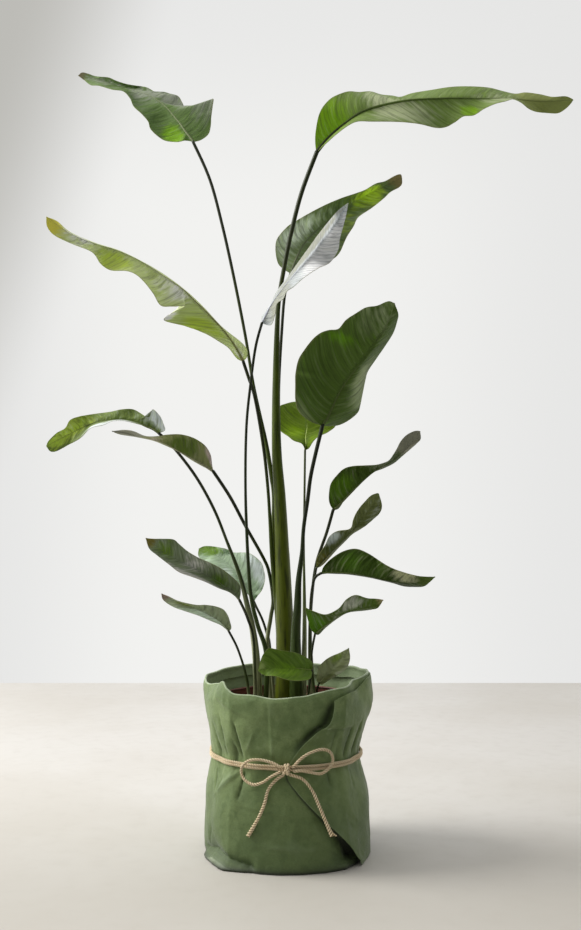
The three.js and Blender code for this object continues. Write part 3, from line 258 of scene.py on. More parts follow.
    node="leaf_right_curl", foot=(38, -2), radii=(4.5, 2.7), half_width=34, lean=(1, -1), wave=(1.5, 3),
    stalk=[(37, 333, -4), (39, 392, -8), (47, 454, -14), (64, 506, -20)],
    rib=[(74, 541, -26), (85, 551, -30), (101, 567, -36), (120, 586, -42), (139, 602, -48),
        (158, 613, -53), (176, 626, -57), (194, 642, -60), (205, 656, -62), (213, 667, -63)],
    left=[(68, 552), (67, 565), (70, 583), (80, 597), (91, 607), (104, 611), (123, 612), (142, 613),
        (154, 616), (163, 620), (170, 629), (176, 639), (182, 651), (190, 660), (200, 666), (208, 668)],
    right=[(83, 544), (93, 559), (104, 570), (114, 579), (134, 599), (155, 608), (171, 616), (184, 627),
        (198, 639), (208, 648), (214, 655)],
    main=(50, 68, 18), bright=(64, 94, 12), grey=(124, 126, 104), tip=(104, 108, 86), tip_from=0.74,
    rib_colour=(80, 90, 50),
    spots=[(0.2, -0.6, 0.14, 0.5, 0.8), (0.55, 0, 0.1, 1, -0.3)],
), dict(
    node="leaf_right_twist", foot=(44, 10), radii=(4, 1.9), half_width=20, lean=(1, -1), wave=(1, 2),
    stalk=[(38, 333, 4), (39, 397, -16)],
    rib=[(47, 448, -36), (61, 464, -44), (77, 480, -52), (93, 496, -60), (107, 511, -67), (122, 530, -74),
        (136, 549, -80), (147, 567, -84)],
    left=[(47, 461), (52, 471), (61, 485), (68, 499), (80, 507), (101, 511), (106, 525), (110, 535),
        (117, 546), (125, 555), (134, 564), (144, 568)],
    right=[(54, 451), (62, 458), (80, 478), (93, 491), (104, 502), (115, 509), (126, 516), (139, 527),
        (149, 537), (152, 549)],
    main=(82, 92, 48), bright=(92, 94, 38), grey=(156, 166, 150), tip=(70, 92, 40), tip_from=0.97,
    rib_colour=(70, 80, 40),
    spots=[(0.1, 0, 0.12, 1, 0.8), (0.34, -0.8, 0.1, 0.5, -1), (0.8, 0.7, 0.2, 0.4, -0.3)],
), dict(
    node="leaf_right_dark", foot=(40, -22), radii=(4, 2.2), half_width=38, lean=(1, -1), wave=(1.5, 3),
    stalk=[(37, 333, -30), (38, 392, -44), (42, 424, -54), (47, 435, -58)],
    rib=[(55, 440, -62), (67, 441, -70), (80, 441, -78), (107, 439, -92), (134, 434, -104),
        (160, 428, -114), (186, 425, -122), (210, 426, -128), (237, 434, -132)],
    left=[(59, 451), (72, 464), (90, 475), (110, 479), (131, 471), (155, 455), (170, 447), (184, 442),
        (198, 438), (214, 435)],
    right=[(77, 439), (98, 438), (131, 433), (149, 429), (170, 424), (187, 419), (205, 418), (219, 419),
        (229, 426)],
    main=(36, 54, 4), bright=(46, 74, 2), grey=(132, 138, 102), tip=(64, 80, 30), tip_from=0.84,
    rib_colour=(60, 72, 30),
    spots=[(0.3, -0.5, 0.12, 0.5, 0.6), (0.8, -0.6, 0.14, 0.6, -1.1), (0.4, 0.8, 0.2, 0.4, -0.4)],
), dict(
    node="leaf_lower_right", foot=(46, -48), radii=(3.6, 1.9), half_width=26, lean=(1, -1), wave=(1.5, 3),
    stalk=[(40, 288, -56), (40, 315, -64)],
    rib=[(45, 343, -74), (49, 346, -77), (56, 352, -82), (72, 363, -92), (91, 375, -102), (112, 382, -112),
        (133, 387, -120), (154, 397, -126)],
    left=[(38, 351), (33, 367), (29, 384), (35, 382), (45, 378), (56, 374), (67, 375), (83, 384),
        (95, 398), (110, 405), (128, 400), (144, 399)],
    right=[(51, 342), (62, 353), (80, 367), (98, 377), (122, 380), (136, 382), (146, 385)],
    main=(62, 82, 26), bright=(62, 98, 8), grey=(142, 148, 126), tip=(110, 106, 70), tip_from=0.92,
    rib_colour=(90, 100, 60),
    spots=[(0.1, -0.5, 0.16, 0.7, 1), (0.66, -0.6, 0.14, 0.5, -0.7), (0.36, 0, 0.1, 1, -0.4)],
), dict(
    node="leaf_front_rim", foot=(30, -64), radii=(3.4, 1.8), half_width=28, lean=(1, -1), wave=(1, 2),
    stalk=[(35, 253, -68)],
    rib=[(40, 285, -72), (31, 286, -80), (14, 288, -90), (-6, 288, -96), (-24, 288, -98), (-37, 286, -96),
        (-46, 284, -92)],
    left=[(38, 272), (24, 268), (2, 269), (-18, 275), (-34, 276), (-42, 280)],
    right=[(41, 296), (34, 303), (24, 309), (13, 313), (2, 315), (-11, 317), (-21, 319), (-29, 320),
        (-37, 312), (-42, 301)],
    main=(70, 94, 26), bright=(84, 114, 24), grey=(100, 116, 60), tip=(104, 124, 58), tip_from=0.97,
    rib_colour=(96, 112, 50),
    spots=[(0.5, -0.2, 0.24, 0.5, 0.8), (0.9, 0.4, 0.1, 0.6, -0.7)],
), dict(
    node="leaf_right_rim", foot=(56, -22), radii=(3, 1.6), half_width=15, lean=(1, -1), wave=(0.8, 2),
    stalk=[(48, 248, -26)],
    rib=[(51, 263, -32), (56, 269, -35), (61, 275, -38), (72, 287, -43), (83, 299, -48), (93, 311, -52),
        (99, 320, -54)],
    left=[(47, 269), (48, 280), (51, 290), (59, 299), (69, 306), (83, 312), (93, 317)],
    right=[(56, 262), (66, 268), (77, 275), (93, 285), (99, 295), (101, 306)],
    main=(122, 132, 92), bright=(104, 124, 52), grey=(144, 152, 124), tip=(84, 92, 50), tip_from=0.96,
    rib_colour=(130, 140, 96),
    spots=[(0.7, -0.5, 0.14, 0.5, 0.8), (0.4, 0.9, 0.3, 0.3, -0.8)],
)]


# Curves
def unit(vectors):
    lengths = np.linalg.norm(vectors, axis=-1, keepdims=True)
    return vectors / np.maximum(lengths, 1e-9)


def gaps(points):
    return np.linalg.norm(np.diff(points, axis=0), axis=1)


def travelled(points):
    """The length from the first point to each."""
    return np.concatenate([[0], np.cumsum(gaps(points))])


def spaced(points):
    """Places on 0..1 of points, in step with the length between them."""
    along = travelled(points)
    return along / along[-1]


def stacked(*values):
    """Three values at each point of a grid. Each one given may be a grid, a row or a number."""
    return np.stack(np.broadcast_arrays(*values), -1).astype(float)


def through(rows, places, t):
    """Values at t of smooth curves through rows of numbers, each row at its own place."""
    rows = np.asarray(rows, float)
    places = np.asarray(places, float)
    t = np.atleast_1d(np.asarray(t, float))
    last = len(rows) - 1
    i = np.searchsorted(places[1:-1], t, side="left")
    f = np.clip((t - places[i]) / (places[i + 1] - places[i]), 0, 1)
    a, b, c, d = (rows[np.clip(i + k, 0, last)] for k in (-1, 0, 1, 2))
    if rows.ndim > 1:
        f = f[:, None]
    p, q = (c - a) / 2, (d - b) / 2
    return b + f * (p + f * (3 * (c - b) - 2 * p - q + f * (2 * (b - c) + p + q)))


def bump(x, middle, spread):
    return np.exp(-(((x - middle) / spread) ** 2))


def step_up(x, low, high):
    """0 below low, 1 above high, smooth between."""
    f = np.clip((x - low) / (high - low), 0, 1)
    return f * f * (3 - 2 * f)


SINES = 14


def waves(points, size, seed):
    """A soft random field on points, about -1 to 1, whose humps are about size apart."""
    random = np.random.default_rng(seed)
    total = np.zeros(points.shape[:-1])
    for _ in range(SINES):
        direction = unit(random.normal(size=3)) / (size * random.uniform(0.6, 1.7))
        total += np.sin(2 * math.pi * points @ direction + random.uniform(0, 2 * math.pi))
    return total / math.sqrt(SINES)


def from_front(x, z, y):
    """Points of the front view at depth y, moved along the line from the eye."""
    reach = (y - EYE[1]) / -EYE[1]
    return stacked(EYE[0] + (x - EYE[0]) * reach, y, EYE[2] + (z - EYE[2]) * reach)


def fitted(points, steps):
    """Points evenly along the smooth curve through points."""
    points = np.asarray(points, float)
    return through(points, spaced(points), np.linspace(0, 1, steps + 1))


# Meshes. A part holds vertices in millimetres, its faces, and two sets of marks on each vertex
# that its material reads: place, where it is on the surface (on the wrap, how far the cloth stands
# out and how much painted shade it has; on the twine, how far out on a strand it is), and look, how
# it is coloured (on a blade, where light and sheen are painted). Marks that are the same all over
# are given once.
def part(vertices, faces, place=0.0, look=0.0, material=0):
    place, look = (np.broadcast_to(marks, vertices.shape) for marks in (place, look))
    return {"vertices": vertices, "faces": faces, "place": place, "look": look, "material": material}


def quads(rows, columns, ring=False):
    """Faces of a grid of vertices; with ring, the last column joins the first."""
    i, j = np.meshgrid(np.arange(rows - 1), np.arange(columns if ring else columns - 1), indexing="ij")
    i, j = i.ravel(), j.ravel()
    k = (j + 1) % columns
    return np.stack([i * columns + j, (i + 1) * columns + j, (i + 1) * columns + k, i * columns + k], -1)


def normals(grid, ring=False):
    along = np.gradient(grid, axis=0)
    if ring:
        across = np.roll(grid, -1, axis=1) - np.roll(grid, 1, axis=1)
    else:
        across = np.gradient(grid, axis=1)
    return unit(np.cross(along, across))


def shell(grid, thickness, place=0.0, look=0.0, ring=False):
    """A sheet of its own thickness over a grid of points, closed round its edges."""
    rows, columns = grid.shape[:2]
    out = normals(grid, ring) * thickness / 2
    vertices = np.concatenate([(grid + out).reshape(-1, 3), (grid - out).reshape(-1, 3)])
    front = quads(rows, columns, ring)
    back = rows * columns
    faces = [front, front[:, ::-1] + back]
    j = np.arange(columns if ring else columns - 1)
    k = (j + 1) % columns
    edges = [(j, k), (k + back - columns, j + back - columns)]
    if not ring:
        i = np.arange(0, back - columns, columns)
        edges += [(i + columns, i), (i + columns - 1, i + 2 * columns - 1)]
    for start, end in edges:
        faces.append(np.stack([start, end, end + back, start + back], -1))
    marks = (np.broadcast_to(m, grid.shape).reshape(-1, 3) for m in (place, look))
    return part(vertices, np.concatenate(faces), *(np.concatenate([m, m]) for m in marks))


def sweep(path, radii, place, look=0.0, material=0):
    """A tube along a path, with its radius at each step and each side, closed at both ends."""
    steps, sides = radii.shape
    along = unit(np.gradient(path, axis=0))
    side = np.array((0.0, 1.0, 0.0))
    angles = 2 * math.pi * np.arange(sides) / sides
    rings = []
    for i in range(steps):
        side = unit(side - along[i] * (side @ along[i]))
        up = np.cross(along[i], side)
        spokes = np.cos(angles)[:, None] * side + np.sin(angles)[:, None] * up
        rings.append(path[i] + radii[i][:, None] * spokes)
    vertices = np.concatenate([*rings, path[:1], path[-1:]])
    j = np.arange(sides)
    k = (j + 1) % sides
    top, first, last = (steps - 1) * sides, steps * sides, steps * sides + 1
    caps = [
        np.stack([np.full(sides, first), k, j, j], -1),
        np.stack([np.full(sides, last), top + j, top + k, top + k], -1),
    ]
    faces = np.concatenate([quads(steps, sides, ring=True), *caps])
    marks = (np.broadcast_to(m, (steps, sides, 3)) for m in (place, look))
    marks = (np.concatenate([m.reshape(-1, 3), m[0, :1], m[-1, :1]]) for m in marks)
    return part(vertices, faces, *marks, material)


SHARP = math.radians(50)  # an edge with a larger angle isn't smoothed
SAME_PLACE = 1e-6  # metres


def piece(name, parts, materials, nodes):
    """One mesh object from parts. It takes the place of the named nodes."""
    starts = np.cumsum([0] + [len(p["vertices"]) for p in parts])
    faces = []
    for p, start in zip(parts, starts):
        for face in (p["faces"] + start).tolist():
            faces.append(face[:3] if face[2] == face[3] else face)
    mesh = bpy.data.meshes.new(name)
    mesh.from_pydata(np.concatenate([p["vertices"] for p in parts]) * MM, [], faces)
    mesh.polygons.foreach_set(
        "material_index", np.concatenate([np.full(len(p["faces"]), p["material"]) for p in parts])
    )
    for key in ("place", "look"):
        marks = mesh.attributes.new(key, "FLOAT_VECTOR", "POINT")
        values = np.concatenate([p[key] for p in parts]).astype(np.float32)
        marks.data.foreach_set("vector", values.ravel())
    for material in materials:
        mesh.materials.append(material)
    shape = bmesh.new()
    shape.from_mesh(mesh)
    bmesh.ops.remove_doubles(shape, verts=shape.verts, dist=SAME_PLACE)
    bmesh.ops.recalc_face_normals(shape, faces=shape.faces)
    shape.to_mesh(mesh)
    shape.free()
    mesh.shade_smooth()
    mesh.set_sharp_from_angle(angle=SHARP)
    made = bpy.data.objects.new(name, mesh)
    bpy.context.scene.collection.objects.link(made)
    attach(made, BODY)
    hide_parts(*nodes)
    return made


# Materials
def colour(seen):
    """A colour given from 0 to 255 as it is seen, for a shader. One that is ready is left as it is."""
    if len(seen) == 4:
        return seen
    seen = np.array(seen) / 255
    light = np.where(seen <= 0.04045, seen / 12.92, ((seen + 0.055) / 1.055) ** 2.4)
    return (*light.tolist(), 1.0)


LEAF_GAIN = (2.3, 2.15, 2.6)  # the looks are given as they are seen in soft light
BRIGHTEST = 0.9  # no part of a leaf reflects more


def gained(seen):
    """A leaf's colour from how it is seen."""
    return (*(min(BRIGHTEST, gain * c) for gain, c in zip(LEAF_GAIN, colour(seen))), 1.0)


def times_colour(share, seen):
    return [share * c for c in seen]


class Shader:
    """A material or a world that is made node by node."""

    def __init__(self, data):
        self.data = data
        data.use_nodes = True
        self.tree = data.node_tree
        self.tree.nodes.clear()
        self.coordinates = self.node("TexCoord").outputs

    def node(self, kind, sockets=None, **settings):
        made = self.tree.nodes.new("ShaderNode" + kind)
        for key, value in settings.items():
            setattr(made, key, value)
        for key, value in (sockets or {}).items():
            if isinstance(value, bpy.types.NodeSocket):
                self.tree.links.new(value, made.inputs[key])
            else:
                made.inputs[key].default_value = value
        return made

    def sum(self, operation, a, b=0.0):
        return self.node("Math", {0: a, 1: b}, operation=operation).outputs[0]

    def times(self, a, b):
        return self.sum("MULTIPLY", a, b)

    def plus(self, a, b):
        return self.sum("ADD", a, b)

    def blend(self, share, a, b):
        return self.node("Mix", {0: share, 6: a, 7: colour(b)}, data_type="RGBA").outputs[2]

    def rise(self, value, low, high, bottom=0.0, top=1.0):
        sockets = {"Value": value, 1: low, 2: high, 3: bottom, 4: top}
        return self.node("MapRange", sockets, interpolation_type="SMOOTHSTEP").outputs[0]

    def layers(self, base, *rows):
        """Colours laid over the base. A row: what the layer follows, the values between which it
        comes in, its greatest share and its colour, and what else its share is multiplied by."""
        seen = colour(base)
        for value, low, high, share, over, *within in rows:
            amount = self.rise(value, low, high, 0.0, share)
            for other in within:
                amount = self.times(other, amount)
            seen = self.blend(amount, seen, over)
        return seen

    def noise(self, size, detail=3.0, where=None, stretch=(1, 1, 1)):
        """Cloudy noise whose humps are size metres apart."""
        where = where or self.coordinates["Object"]
        scaled = self.node("Mapping", {"Vector": where, "Scale": stretch}).outputs[0]
        sockets = {"Vector": scaled, "Scale": 1 / size, "Detail": detail, "Roughness": 0.55}
        return self.node("TexNoise", sockets).outputs[0]

    def split(self, vector):
        return self.node("SeparateXYZ", {0: vector}).outputs

    def marks(self, name):
        return self.split(self.node("Attribute", attribute_name=name).outputs["Vector"])

    def relief(self, height, distance, strength, under=None):
        sockets = {"Height": height, "Distance": distance, "Strength": strength}
        if under:
            sockets["Normal"] = under
        return self.node("Bump", sockets).outputs[0]

    def surface(self, seen, facing, grain, smooth, rough, specular=0.5, sheen=0.0, sheen_rough=0.5):
        """A surface whose roughness goes from smooth to rough as the grain rises."""
        return self.node("BsdfPrincipled", {
            "Base Color": seen,
            "Roughness": self.rise(grain, 0.3, 0.7, smooth, rough),
            "Specular IOR Level": specular,
            "Sheen Weight": sheen,
            "Sheen Roughness": sheen_rough,
            "Normal": facing,
        }).outputs[0]

    def shown(self, shader):
        self.node("OutputMaterial", {"Surface": shader})
        return self.data


def new_shader(name):
    return Shader(bpy.data.materials.new(name))


VEIN_SPACING = 0.0065
THROUGH_LEAF = 0.25  # share of the light that shines through a blade
SHADE = 0.42  # how bright the dark streaks are beside the blade's main colour
BROWN_EDGE = (108, 108, 70)


def blade_material(leaf):
    """A blade's skin: streaks that run along the side veins, darker ones and ones in the colours of
    the painted light and sheen, and zones of painted light and painted sheen.
    """
    s = new_shader(leaf["node"] + "_blade")
    phase, share, along = s.marks("place")
    tone, side, rib = s.marks("look")
    long, slim = (
        s.node("CombineXYZ", {0: phase, 1: s.times(share, width), 2: side}).outputs[0]
        for width in (0.014, 0.004)
    )
    cloud, grain, streak = s.noise(0.05), s.noise(0.003, 4), s.noise(0.010, 4, long)
    band, hair = s.noise(0.0042, 3, slim), s.noise(0.0015, 3, slim)
    vein = s.sum("SINE", s.plus(s.times(phase, 2 * math.pi / VEIN_SPACING), s.times(cloud, 9)))
    main, bright, grey, tip = (gained(leaf[key]) for key in ("main", "bright", "grey", "tip"))
    dark = (*times_colour(SHADE, main[:3]), 1.0)
    zone = s.plus(tone, s.times(s.plus(streak, -0.5), 1.3))
    calm = s.rise(along, 0.97, 0.84)  # the narrow end of a blade has no streaks
    to_tip = s.plus(along, s.times(streak, 0.1))
    # the bright colour is painted light and the grey colour is painted sheen (on leaf_silver, painted shade)
    seen = s.layers(
        main,
        (zone, 0.1, 0.7, 1.0, bright),
        (zone, -0.1, -0.75, 1.0, grey),
        (band, 0.5, 0.32, 0.5, dark, calm),
        (band, 0.52, 0.72, 0.22, grey, calm),
        (hair, 0.5, 0.72, 0.25, dark, calm),
        (hair, 0.46, 0.28, 0.25, bright, calm),
        (vein, 0.75, 1.0, leaf.get("veins", 0.0), dark),
        (cloud, 0.5, 0.75, 0.25, dark),
        (share, 0.95, 1.0, 0.4, gained(BROWN_EDGE)),
        (to_tip, leaf["tip_from"] + 0.03, leaf["tip_from"] + 0.1, 1.0, tip),
    )
    rib_to = leaf.get("rib_to", 1.1)
    ribbed = s.times(rib, s.rise(along, rib_to, rib_to - 0.3, 0.3))
    seen = s.blend(ribbed, seen, gained(leaf["rib_colour"]))
    height = s.times(calm, s.plus(band, s.plus(s.times(hair, 0.3), s.times(streak, 0.8))))
    facing = s.relief(height, 0.0014, 0.6)
    waxy = s.surface(seen, facing, grain, 0.42, 0.6, specular=0.14)
    glow = s.node("HueSaturation", {"Saturation": 1.15, "Value": 1.6, "Color": seen}).outputs[0]
    lit = s.node("BsdfTranslucent", {"Color": glow, "Normal": facing}).outputs[0]
    return s.shown(s.node("MixShader", {0: THROUGH_LEAF, 1: waxy, 2: lit}).outputs[0])


def stalk_material(name, foot, middle, neck):
    """A stalk's skin: its colour at the foot, halfway and at the blade, with lengthwise streaks."""
    s = new_shader(name)
    around, along, share = s.marks("place")
    where = s.node("CombineXYZ", {0: s.times(around, 0.05), 1: s.times(along, 0.07)}).outputs[0]
    streak, fine = s.noise(0.006, 4, where), s.noise(0.0022, 3, where)
    seen = s.layers(
        foot,
        (share, 0.16, 0.5, 1.0, middle),
        (share, 0.5, 0.85, 1.0, neck),
        (streak, 0.5, 0.66, 0.7, times_colour(0.5, middle)),
        (streak, 0.44, 0.3, 0.5, foot),
        (fine, 0.5, 0.7, 0.4, times_colour(0.6, neck)),
    )
    facing = s.relief(s.plus(streak, s.times(fine, 0.4)), 0.0006, 0.5)
    return s.shown(s.surface(seen, facing, streak, 0.36, 0.5, specular=0.3))


def wrap_material():
    """Pressed cloth, paler where it stands out (wear and painted highlight), with a painted highlight on
    its hem fold, painted shade in its dents, under its folds, towards the bottom and at its foot,
    and painted light on its inner side.
    """
    s = new_shader("wrap_cloth")
    crease, painted_shade, _ = s.marks("place")
    place = s.coordinates["Object"]
    sockets = {0: s.coordinates["Normal"], 1: place}
    outward = s.node("VectorMath", sockets, operation="DOT_PRODUCT").outputs["Value"]
    cloud, patch = s.noise(0.06, 5), s.noise(0.014, 5)
    fibre, weft = s.noise(0.0022, 5, stretch=(1, 1, 3)), s.noise(0.0018, 4, stretch=(3, 3, 1))
    seen = s.layers(
        (99, 120, 66),
        (cloud, 0.36, 0.66, 1.0, (127, 146, 91)),
        (patch, 0.48, 0.7, 0.55, (84, 105, 54)),
        (patch, 0.46, 0.28, 0.4, (138, 155, 106)),
        (fibre, 0.4, 0.7, 0.45, (82, 101, 57)),
        (weft, 0.5, 0.75, 0.4, (130, 147, 102)),
        # paler where the cloth stands out, as wear and painted highlight; painted shade in its dents
        (crease, 1.2, 3.0, 0.35, (150, 168, 128)),
        (crease, -1.0, -4.0, 0.5, (62, 80, 40)),
        # painted shade towards the bottom of the wrap
        (s.split(place)[2], 0.2, 0.02, 0.6, (60, 80, 36)),
        # painted highlight on the hem's fold and on the highest ridges, such as the slope of the folded
        # corner
        (crease, 4.0, 6.0, 0.75, (190, 202, 172), s.rise(cloud, 0.42, 0.58, 0.45)),
        # painted light on the inner side of the cloth
        (outward, -0.02, -0.09, 0.75, (156, 176, 134)),
    )
    # painted shade in the gaps under the lapped corner, inside the hem and at the foot
    seen = s.blend(s.times(painted_shade, 0.92), seen, (14, 20, 8))
    fine = s.relief(s.plus(fibre, weft), 0.0004, 0.6)
    crumpled = s.sum("ABSOLUTE", s.plus(s.noise(0.034, 4), -0.5))
    facing = s.relief(s.plus(s.noise(0.016, 4), s.times(crumpled, 2.2)), 0.0022, 0.4, fine)
    return s.shown(s.surface(seen, facing, cloud, 0.55, 0.72, sheen=0.2, sheen_rough=0.35))


def twine_material():
    s = new_shader("jute")
    strand = s.marks("place")[0]
    fibre, cloud = s.noise(0.0008, 5), s.noise(0.009)
    seen = s.layers(
        (204, 178, 134),
        (fibre, 0.35, 0.65, 1.0, (246, 232, 200)),
        (cloud, 0.42, 0.7, 0.5, (216, 190, 148)),
        # painted shade in the grooves between the strands
        (strand, 0.5, 0.0, 0.9, (104, 78, 46)),
    )
    facing = s.relief(fibre, 0.0006, 0.8)
    return s.shown(s.surface(seen, facing, fibre, 0.8, 0.95, specular=0.2, sheen=0.25))


def pot_material():
    s = new_shader("moulded_pot")
    cloud = s.noise(0.03, 4)
    seen = s.layers(
        (112, 62, 48),
        (cloud, 0.35, 0.7, 1.0, (92, 50, 40)),
        (s.noise(0.005, 4), 0.55, 0.75, 0.4, (64, 44, 34)),
    )
    facing = s.relief(s.noise(0.0015, 3), 0.0002, 0.4)
    return s.shown(s.surface(seen, facing, cloud, 0.45, 0.65))


def soil_material():
    s = new_shader("potting_soil")
    grain = s.noise(0.004, 6)
    seen = s.layers(
        (54, 38, 30),
        (grain, 0.35, 0.7, 1.0, (100, 70, 54)),
        (s.noise(0.02, 3), 0.5, 0.75, 0.6, (108, 66, 46)),
    )
    facing = s.relief(grain, 0.002, 0.8)
    return s.shown(s.surface(seen, facing, grain, 0.85, 0.98, specular=0.2))


# Wrap. Angles are in degrees round the pot from the front, to the right as it is seen.
RIM = [
    (-180, 272), (-145, 277), (-115, 271), (-100, 266), (-88, 265), (-76, 268), (-62, 275),
    (-52, 279), (-45, 272), (-38, 265), (-26, 265), (0, 263), (30, 272), (50, 276), (75, 282),
    (100, 280), (135, 277), (160, 277), (180, 272),
]
BELLY = [(0, 130), (40, 131), (90, 130), (136, 125), (TIE_HEIGHT, 122.5), (180, 125), (224, 129), (284, 133)]
CORNERS = np.array((-180.0, -110, -40, 40, 110, 180))  # angles of the wrap's rounded corners
CORNER_OUT = 5.5
BOXINESS = 39.0  # how much flatter than a circle the sides between them are
# Pleats that the twine gathers: the angle of each, how deep it is and its spread.
PLEATS = [
    (-152, 2.5, 6), (-120, 3, 6), (-88, 2.5, 5), (-57, 3, 5), (-37, 4.5, 4.5), (-16, 2, 6),
    (36, 3, 5), (58, 3, 5), (104, 3, 6), (131, 2.5, 6), (165, 3, 6),
]
# Sharp creases between the pleats, close to the twine: angle, depth and spread.
CREASES = [
    (-66, 1.8, 1.6), (-60, 2.4, 1.8), (-54, 1.6, 1.5), (-40, 4.2, 2), (-29, 1.4, 1.8), (-9, 1.2, 2),
    (14, 1.2, 2), (30, 1.6, 1.8), (38, 2.8, 2), (46, 1.6, 1.8), (54, 2.4, 2), (62, 1.4, 1.6),
    (70, 2.6, 2), (76, 1.8, 1.6), (92, 2, 2), (112, 2.4, 2), (124, 1.6, 2), (140, 2.2, 2),
    (157, 1.8, 2), (174, 2.4, 2), (-168, 2, 2), (-142, 2.2, 2), (-130, 1.6, 2), (-108, 2.4, 2),
    (-98, 1.6, 2), (-80, 2, 2),
]
# Folds of the front: from one place to another, each an angle and a height, then how far the fold
# stands out, the step from one side of it to the other, and its spread.
FOLDS = [
    (-38, 224, -33, 166, -4.5, 1.6, 2.6), (-53, 228, -48, 166, -2.6, 1.2, 2.4),
    (-63, 212, -58, 168, -2.6, 1.0, 2.2), (-41, 200, -38, 170, -1.6, 0.8, 1.8),
    (-12, 250, -11, 172, 0.9, 0.7, 3.0), (-29, 178, -23, 208, 1.5, 0.8, 2.2),
    (20, 217, 53, 211, -1.4, 1.4, 2.4), (35, 211, 31, 168, -2.4, 1.0, 2.0),
    (51, 212, 45, 168, -3.2, 1.2, 2.2), (64, 216, 59, 166, -3.6, 1.5, 2.4),
    (-64, 148, -60, 108, -2.8, 1.0, 2.4), (-34, 150, -60, 102, 3.4, -1.4, 5.0),
    (-51, 134, -57, 106, -2.8, 1.2, 2.8), (-32, 150, -36, 106, -3.8, -1.4, 2.4),
    (30, 151, 32, 126, -2.8, 1.0, 2.0), (52, 150, 54, 118, -2.2, 0.8, 2.2),
    (-62, 52, -70, 18, -2.0, 1.0, 4.0), (22, 5, 58, 15, 1.6, -1.4, 3.6),
    (-30, 96, 4, 84, 0.9, 0.6, 5.0), (-20, 40, 24, 34, 0.8, 0.6, 5.0),
    (-66, 262, -20, 226, 0.7, 0.7, 4.0), (12, 64, 38, 20, -0.8, 0.8, 5.0),
]
# The upper edge of the folded corner at the foot, as angle and height.
TUCK = [(-80, 12), (-70, 15), (-55, 23), (-39, 16), (-22, 9)]
TUCK_DEPTH, TUCK_SLOPE = 8.5, 1.15  # depth of its groove, and the rise of the cloth per mm below it
FADE = 0.15  # how far past its ends a fold fades out, as a share of its length
WALL_RADIUS = 130.0  # by which an angle on the wall is turned into a length
RIM_HEIGHT = 270.0  # on average
# The free edge of the corner that laps over the front: from the floor, by the knot, to the rim.
LAP_EDGE = [
    (53, 1), (40, 38), (31, 62), (18, 94), (8.5, 118), (1, 140), (1, TIE_HEIGHT),
    (6, 178), (12, 194), (20, 210), (28, 222), (31, 238), (32, 256),
]
LAP_START, LAP_END = 28, 96  # angles of its two ends at the rim; at the second it joins the sheet
LAP_RIM = [(LAP_START, 255), (43, 266), (59, 267), (74, 280), (LAP_END, 279)]  # its top edge
LAP_FOOT = 1  # height of its lower edge


def look_up(table, x):
    places, values = zip(*table)
    shape = np.shape(x)
    return through(values, places, np.ravel(x)).reshape(shape)


def degrees_cos(x):
    return np.cos(np.radians(x))


def boxy(angle):
    """How far the wrap stands out because its plan is a rounded box."""
    turned = np.mod(angle + 180, 360) - 180
    i = np.clip(np.searchsorted(CORNERS, turned), 1, len(CORNERS) - 1)
    start, end = CORNERS[i - 1], CORNERS[i]
    share = degrees_cos((end - start) / 2) / degrees_cos(turned - (start + end) / 2)
    return CORNER_OUT - BOXINESS * (1 - share)


FOOT_HEIGHT = 110  # up to which the foot spreads
FOOT_FRONT, FOOT_BACK = 8, 5  # how far it spreads
RIM_FLARES = ((-116, 22), (128, 22))  # at the back: angle and spread of each
RIM_TUCK = (60, 8)  # where the rim is drawn in: angle and spread
RIM_FOLD = (88, 13)  # where it stands out in a fold: angle and spread
RIM_DEPTH = 9  # of the tuck and of the fold
FLARE_OUT = 8  # how far the rim stands out at each flare
SIDE_RIGHT, SIDE_LEFT = 9, 3  # how much narrower the two sides are at the twine
SIDE_SPREAD = 30  # degrees
TIED = 34  # how far from the twine the cloth is gathered, up and down
TIED_ROUND = 0.75  # how round the plan is at the twine, from a rounded box (0) to a circle (1)


def wrap_radius(angle, z):
    """The wall's main shape: a belly drawn in at the twine, a plan that is a rounded box where it is
    free of the twine, a foot that spreads, a rim that flares at the back, and a fold at the right."""
    free = 1 - TIED_ROUND * bump(z, TIE_HEIGHT, TIED + 6)
    gathered = bump(z, TIE_HEIGHT, TIED)
    pleats = sum(depth * bump(angle, at, spread) for at, depth, spread in PLEATS)
    forward = degrees_cos(angle)
    spread = FOOT_FRONT * np.maximum(0, forward) + FOOT_BACK * np.maximum(0, -forward)
    foot = spread * np.maximum(0, 1 - z / FOOT_HEIGHT) ** 1.6
    tuck = RIM_DEPTH * bump(angle, *RIM_TUCK) * np.maximum(0, (z - 235) / 45)
    flare = FLARE_OUT * sum(bump(angle, *at) for at in RIM_FLARES) * np.maximum(0, (z - 200) / 75)
    fold = RIM_DEPTH * bump(angle, *RIM_FOLD) * bump(z, 238, 26)
    sides = SIDE_RIGHT * bump(angle, 88, SIDE_SPREAD) + SIDE_LEFT * bump(angle, -88, SIDE_SPREAD)
    waist = sides * bump(z, TIE_HEIGHT + 4, 42)
    outward = boxy(angle) * free + foot + flare + fold
    return look_up(BELLY, z) + outward - pleats * gathered - tuck - waist


def around(radius, angle, z):
    return stacked(radius * np.sin(np.radians(angle)), -radius * np.cos(np.radians(angle)), z)


def on_wrap(angle, z, out):
    return around(wrap_radius(angle, z) + out, angle, z)


def folded(angle, z):
    """How far the folds of the front move the cloth in or out."""
    moved = 0.0
    for angle_a, z_a, angle_b, z_b, ridge, step, spread in FOLDS:
        run = math.radians(angle_b - angle_a) * WALL_RADIUS
        rise = z_b - z_a
        length = math.hypot(run, rise)
        u, v = np.radians(angle - angle_a) * WALL_RADIUS, z - z_a
        along = (u * run + v * rise) / length**2
        off = (v * run - u * rise) / length
        ends = step_up(along, -FADE, 0.2) * (1 - step_up(along, 0.8, 1 + FADE))
        near = ridge * np.exp(-np.abs(off) / spread)
        near = near + step * np.tanh(off) * np.exp(-np.abs(off) / (3 * spread))
        moved = moved + near * ends
    return moved


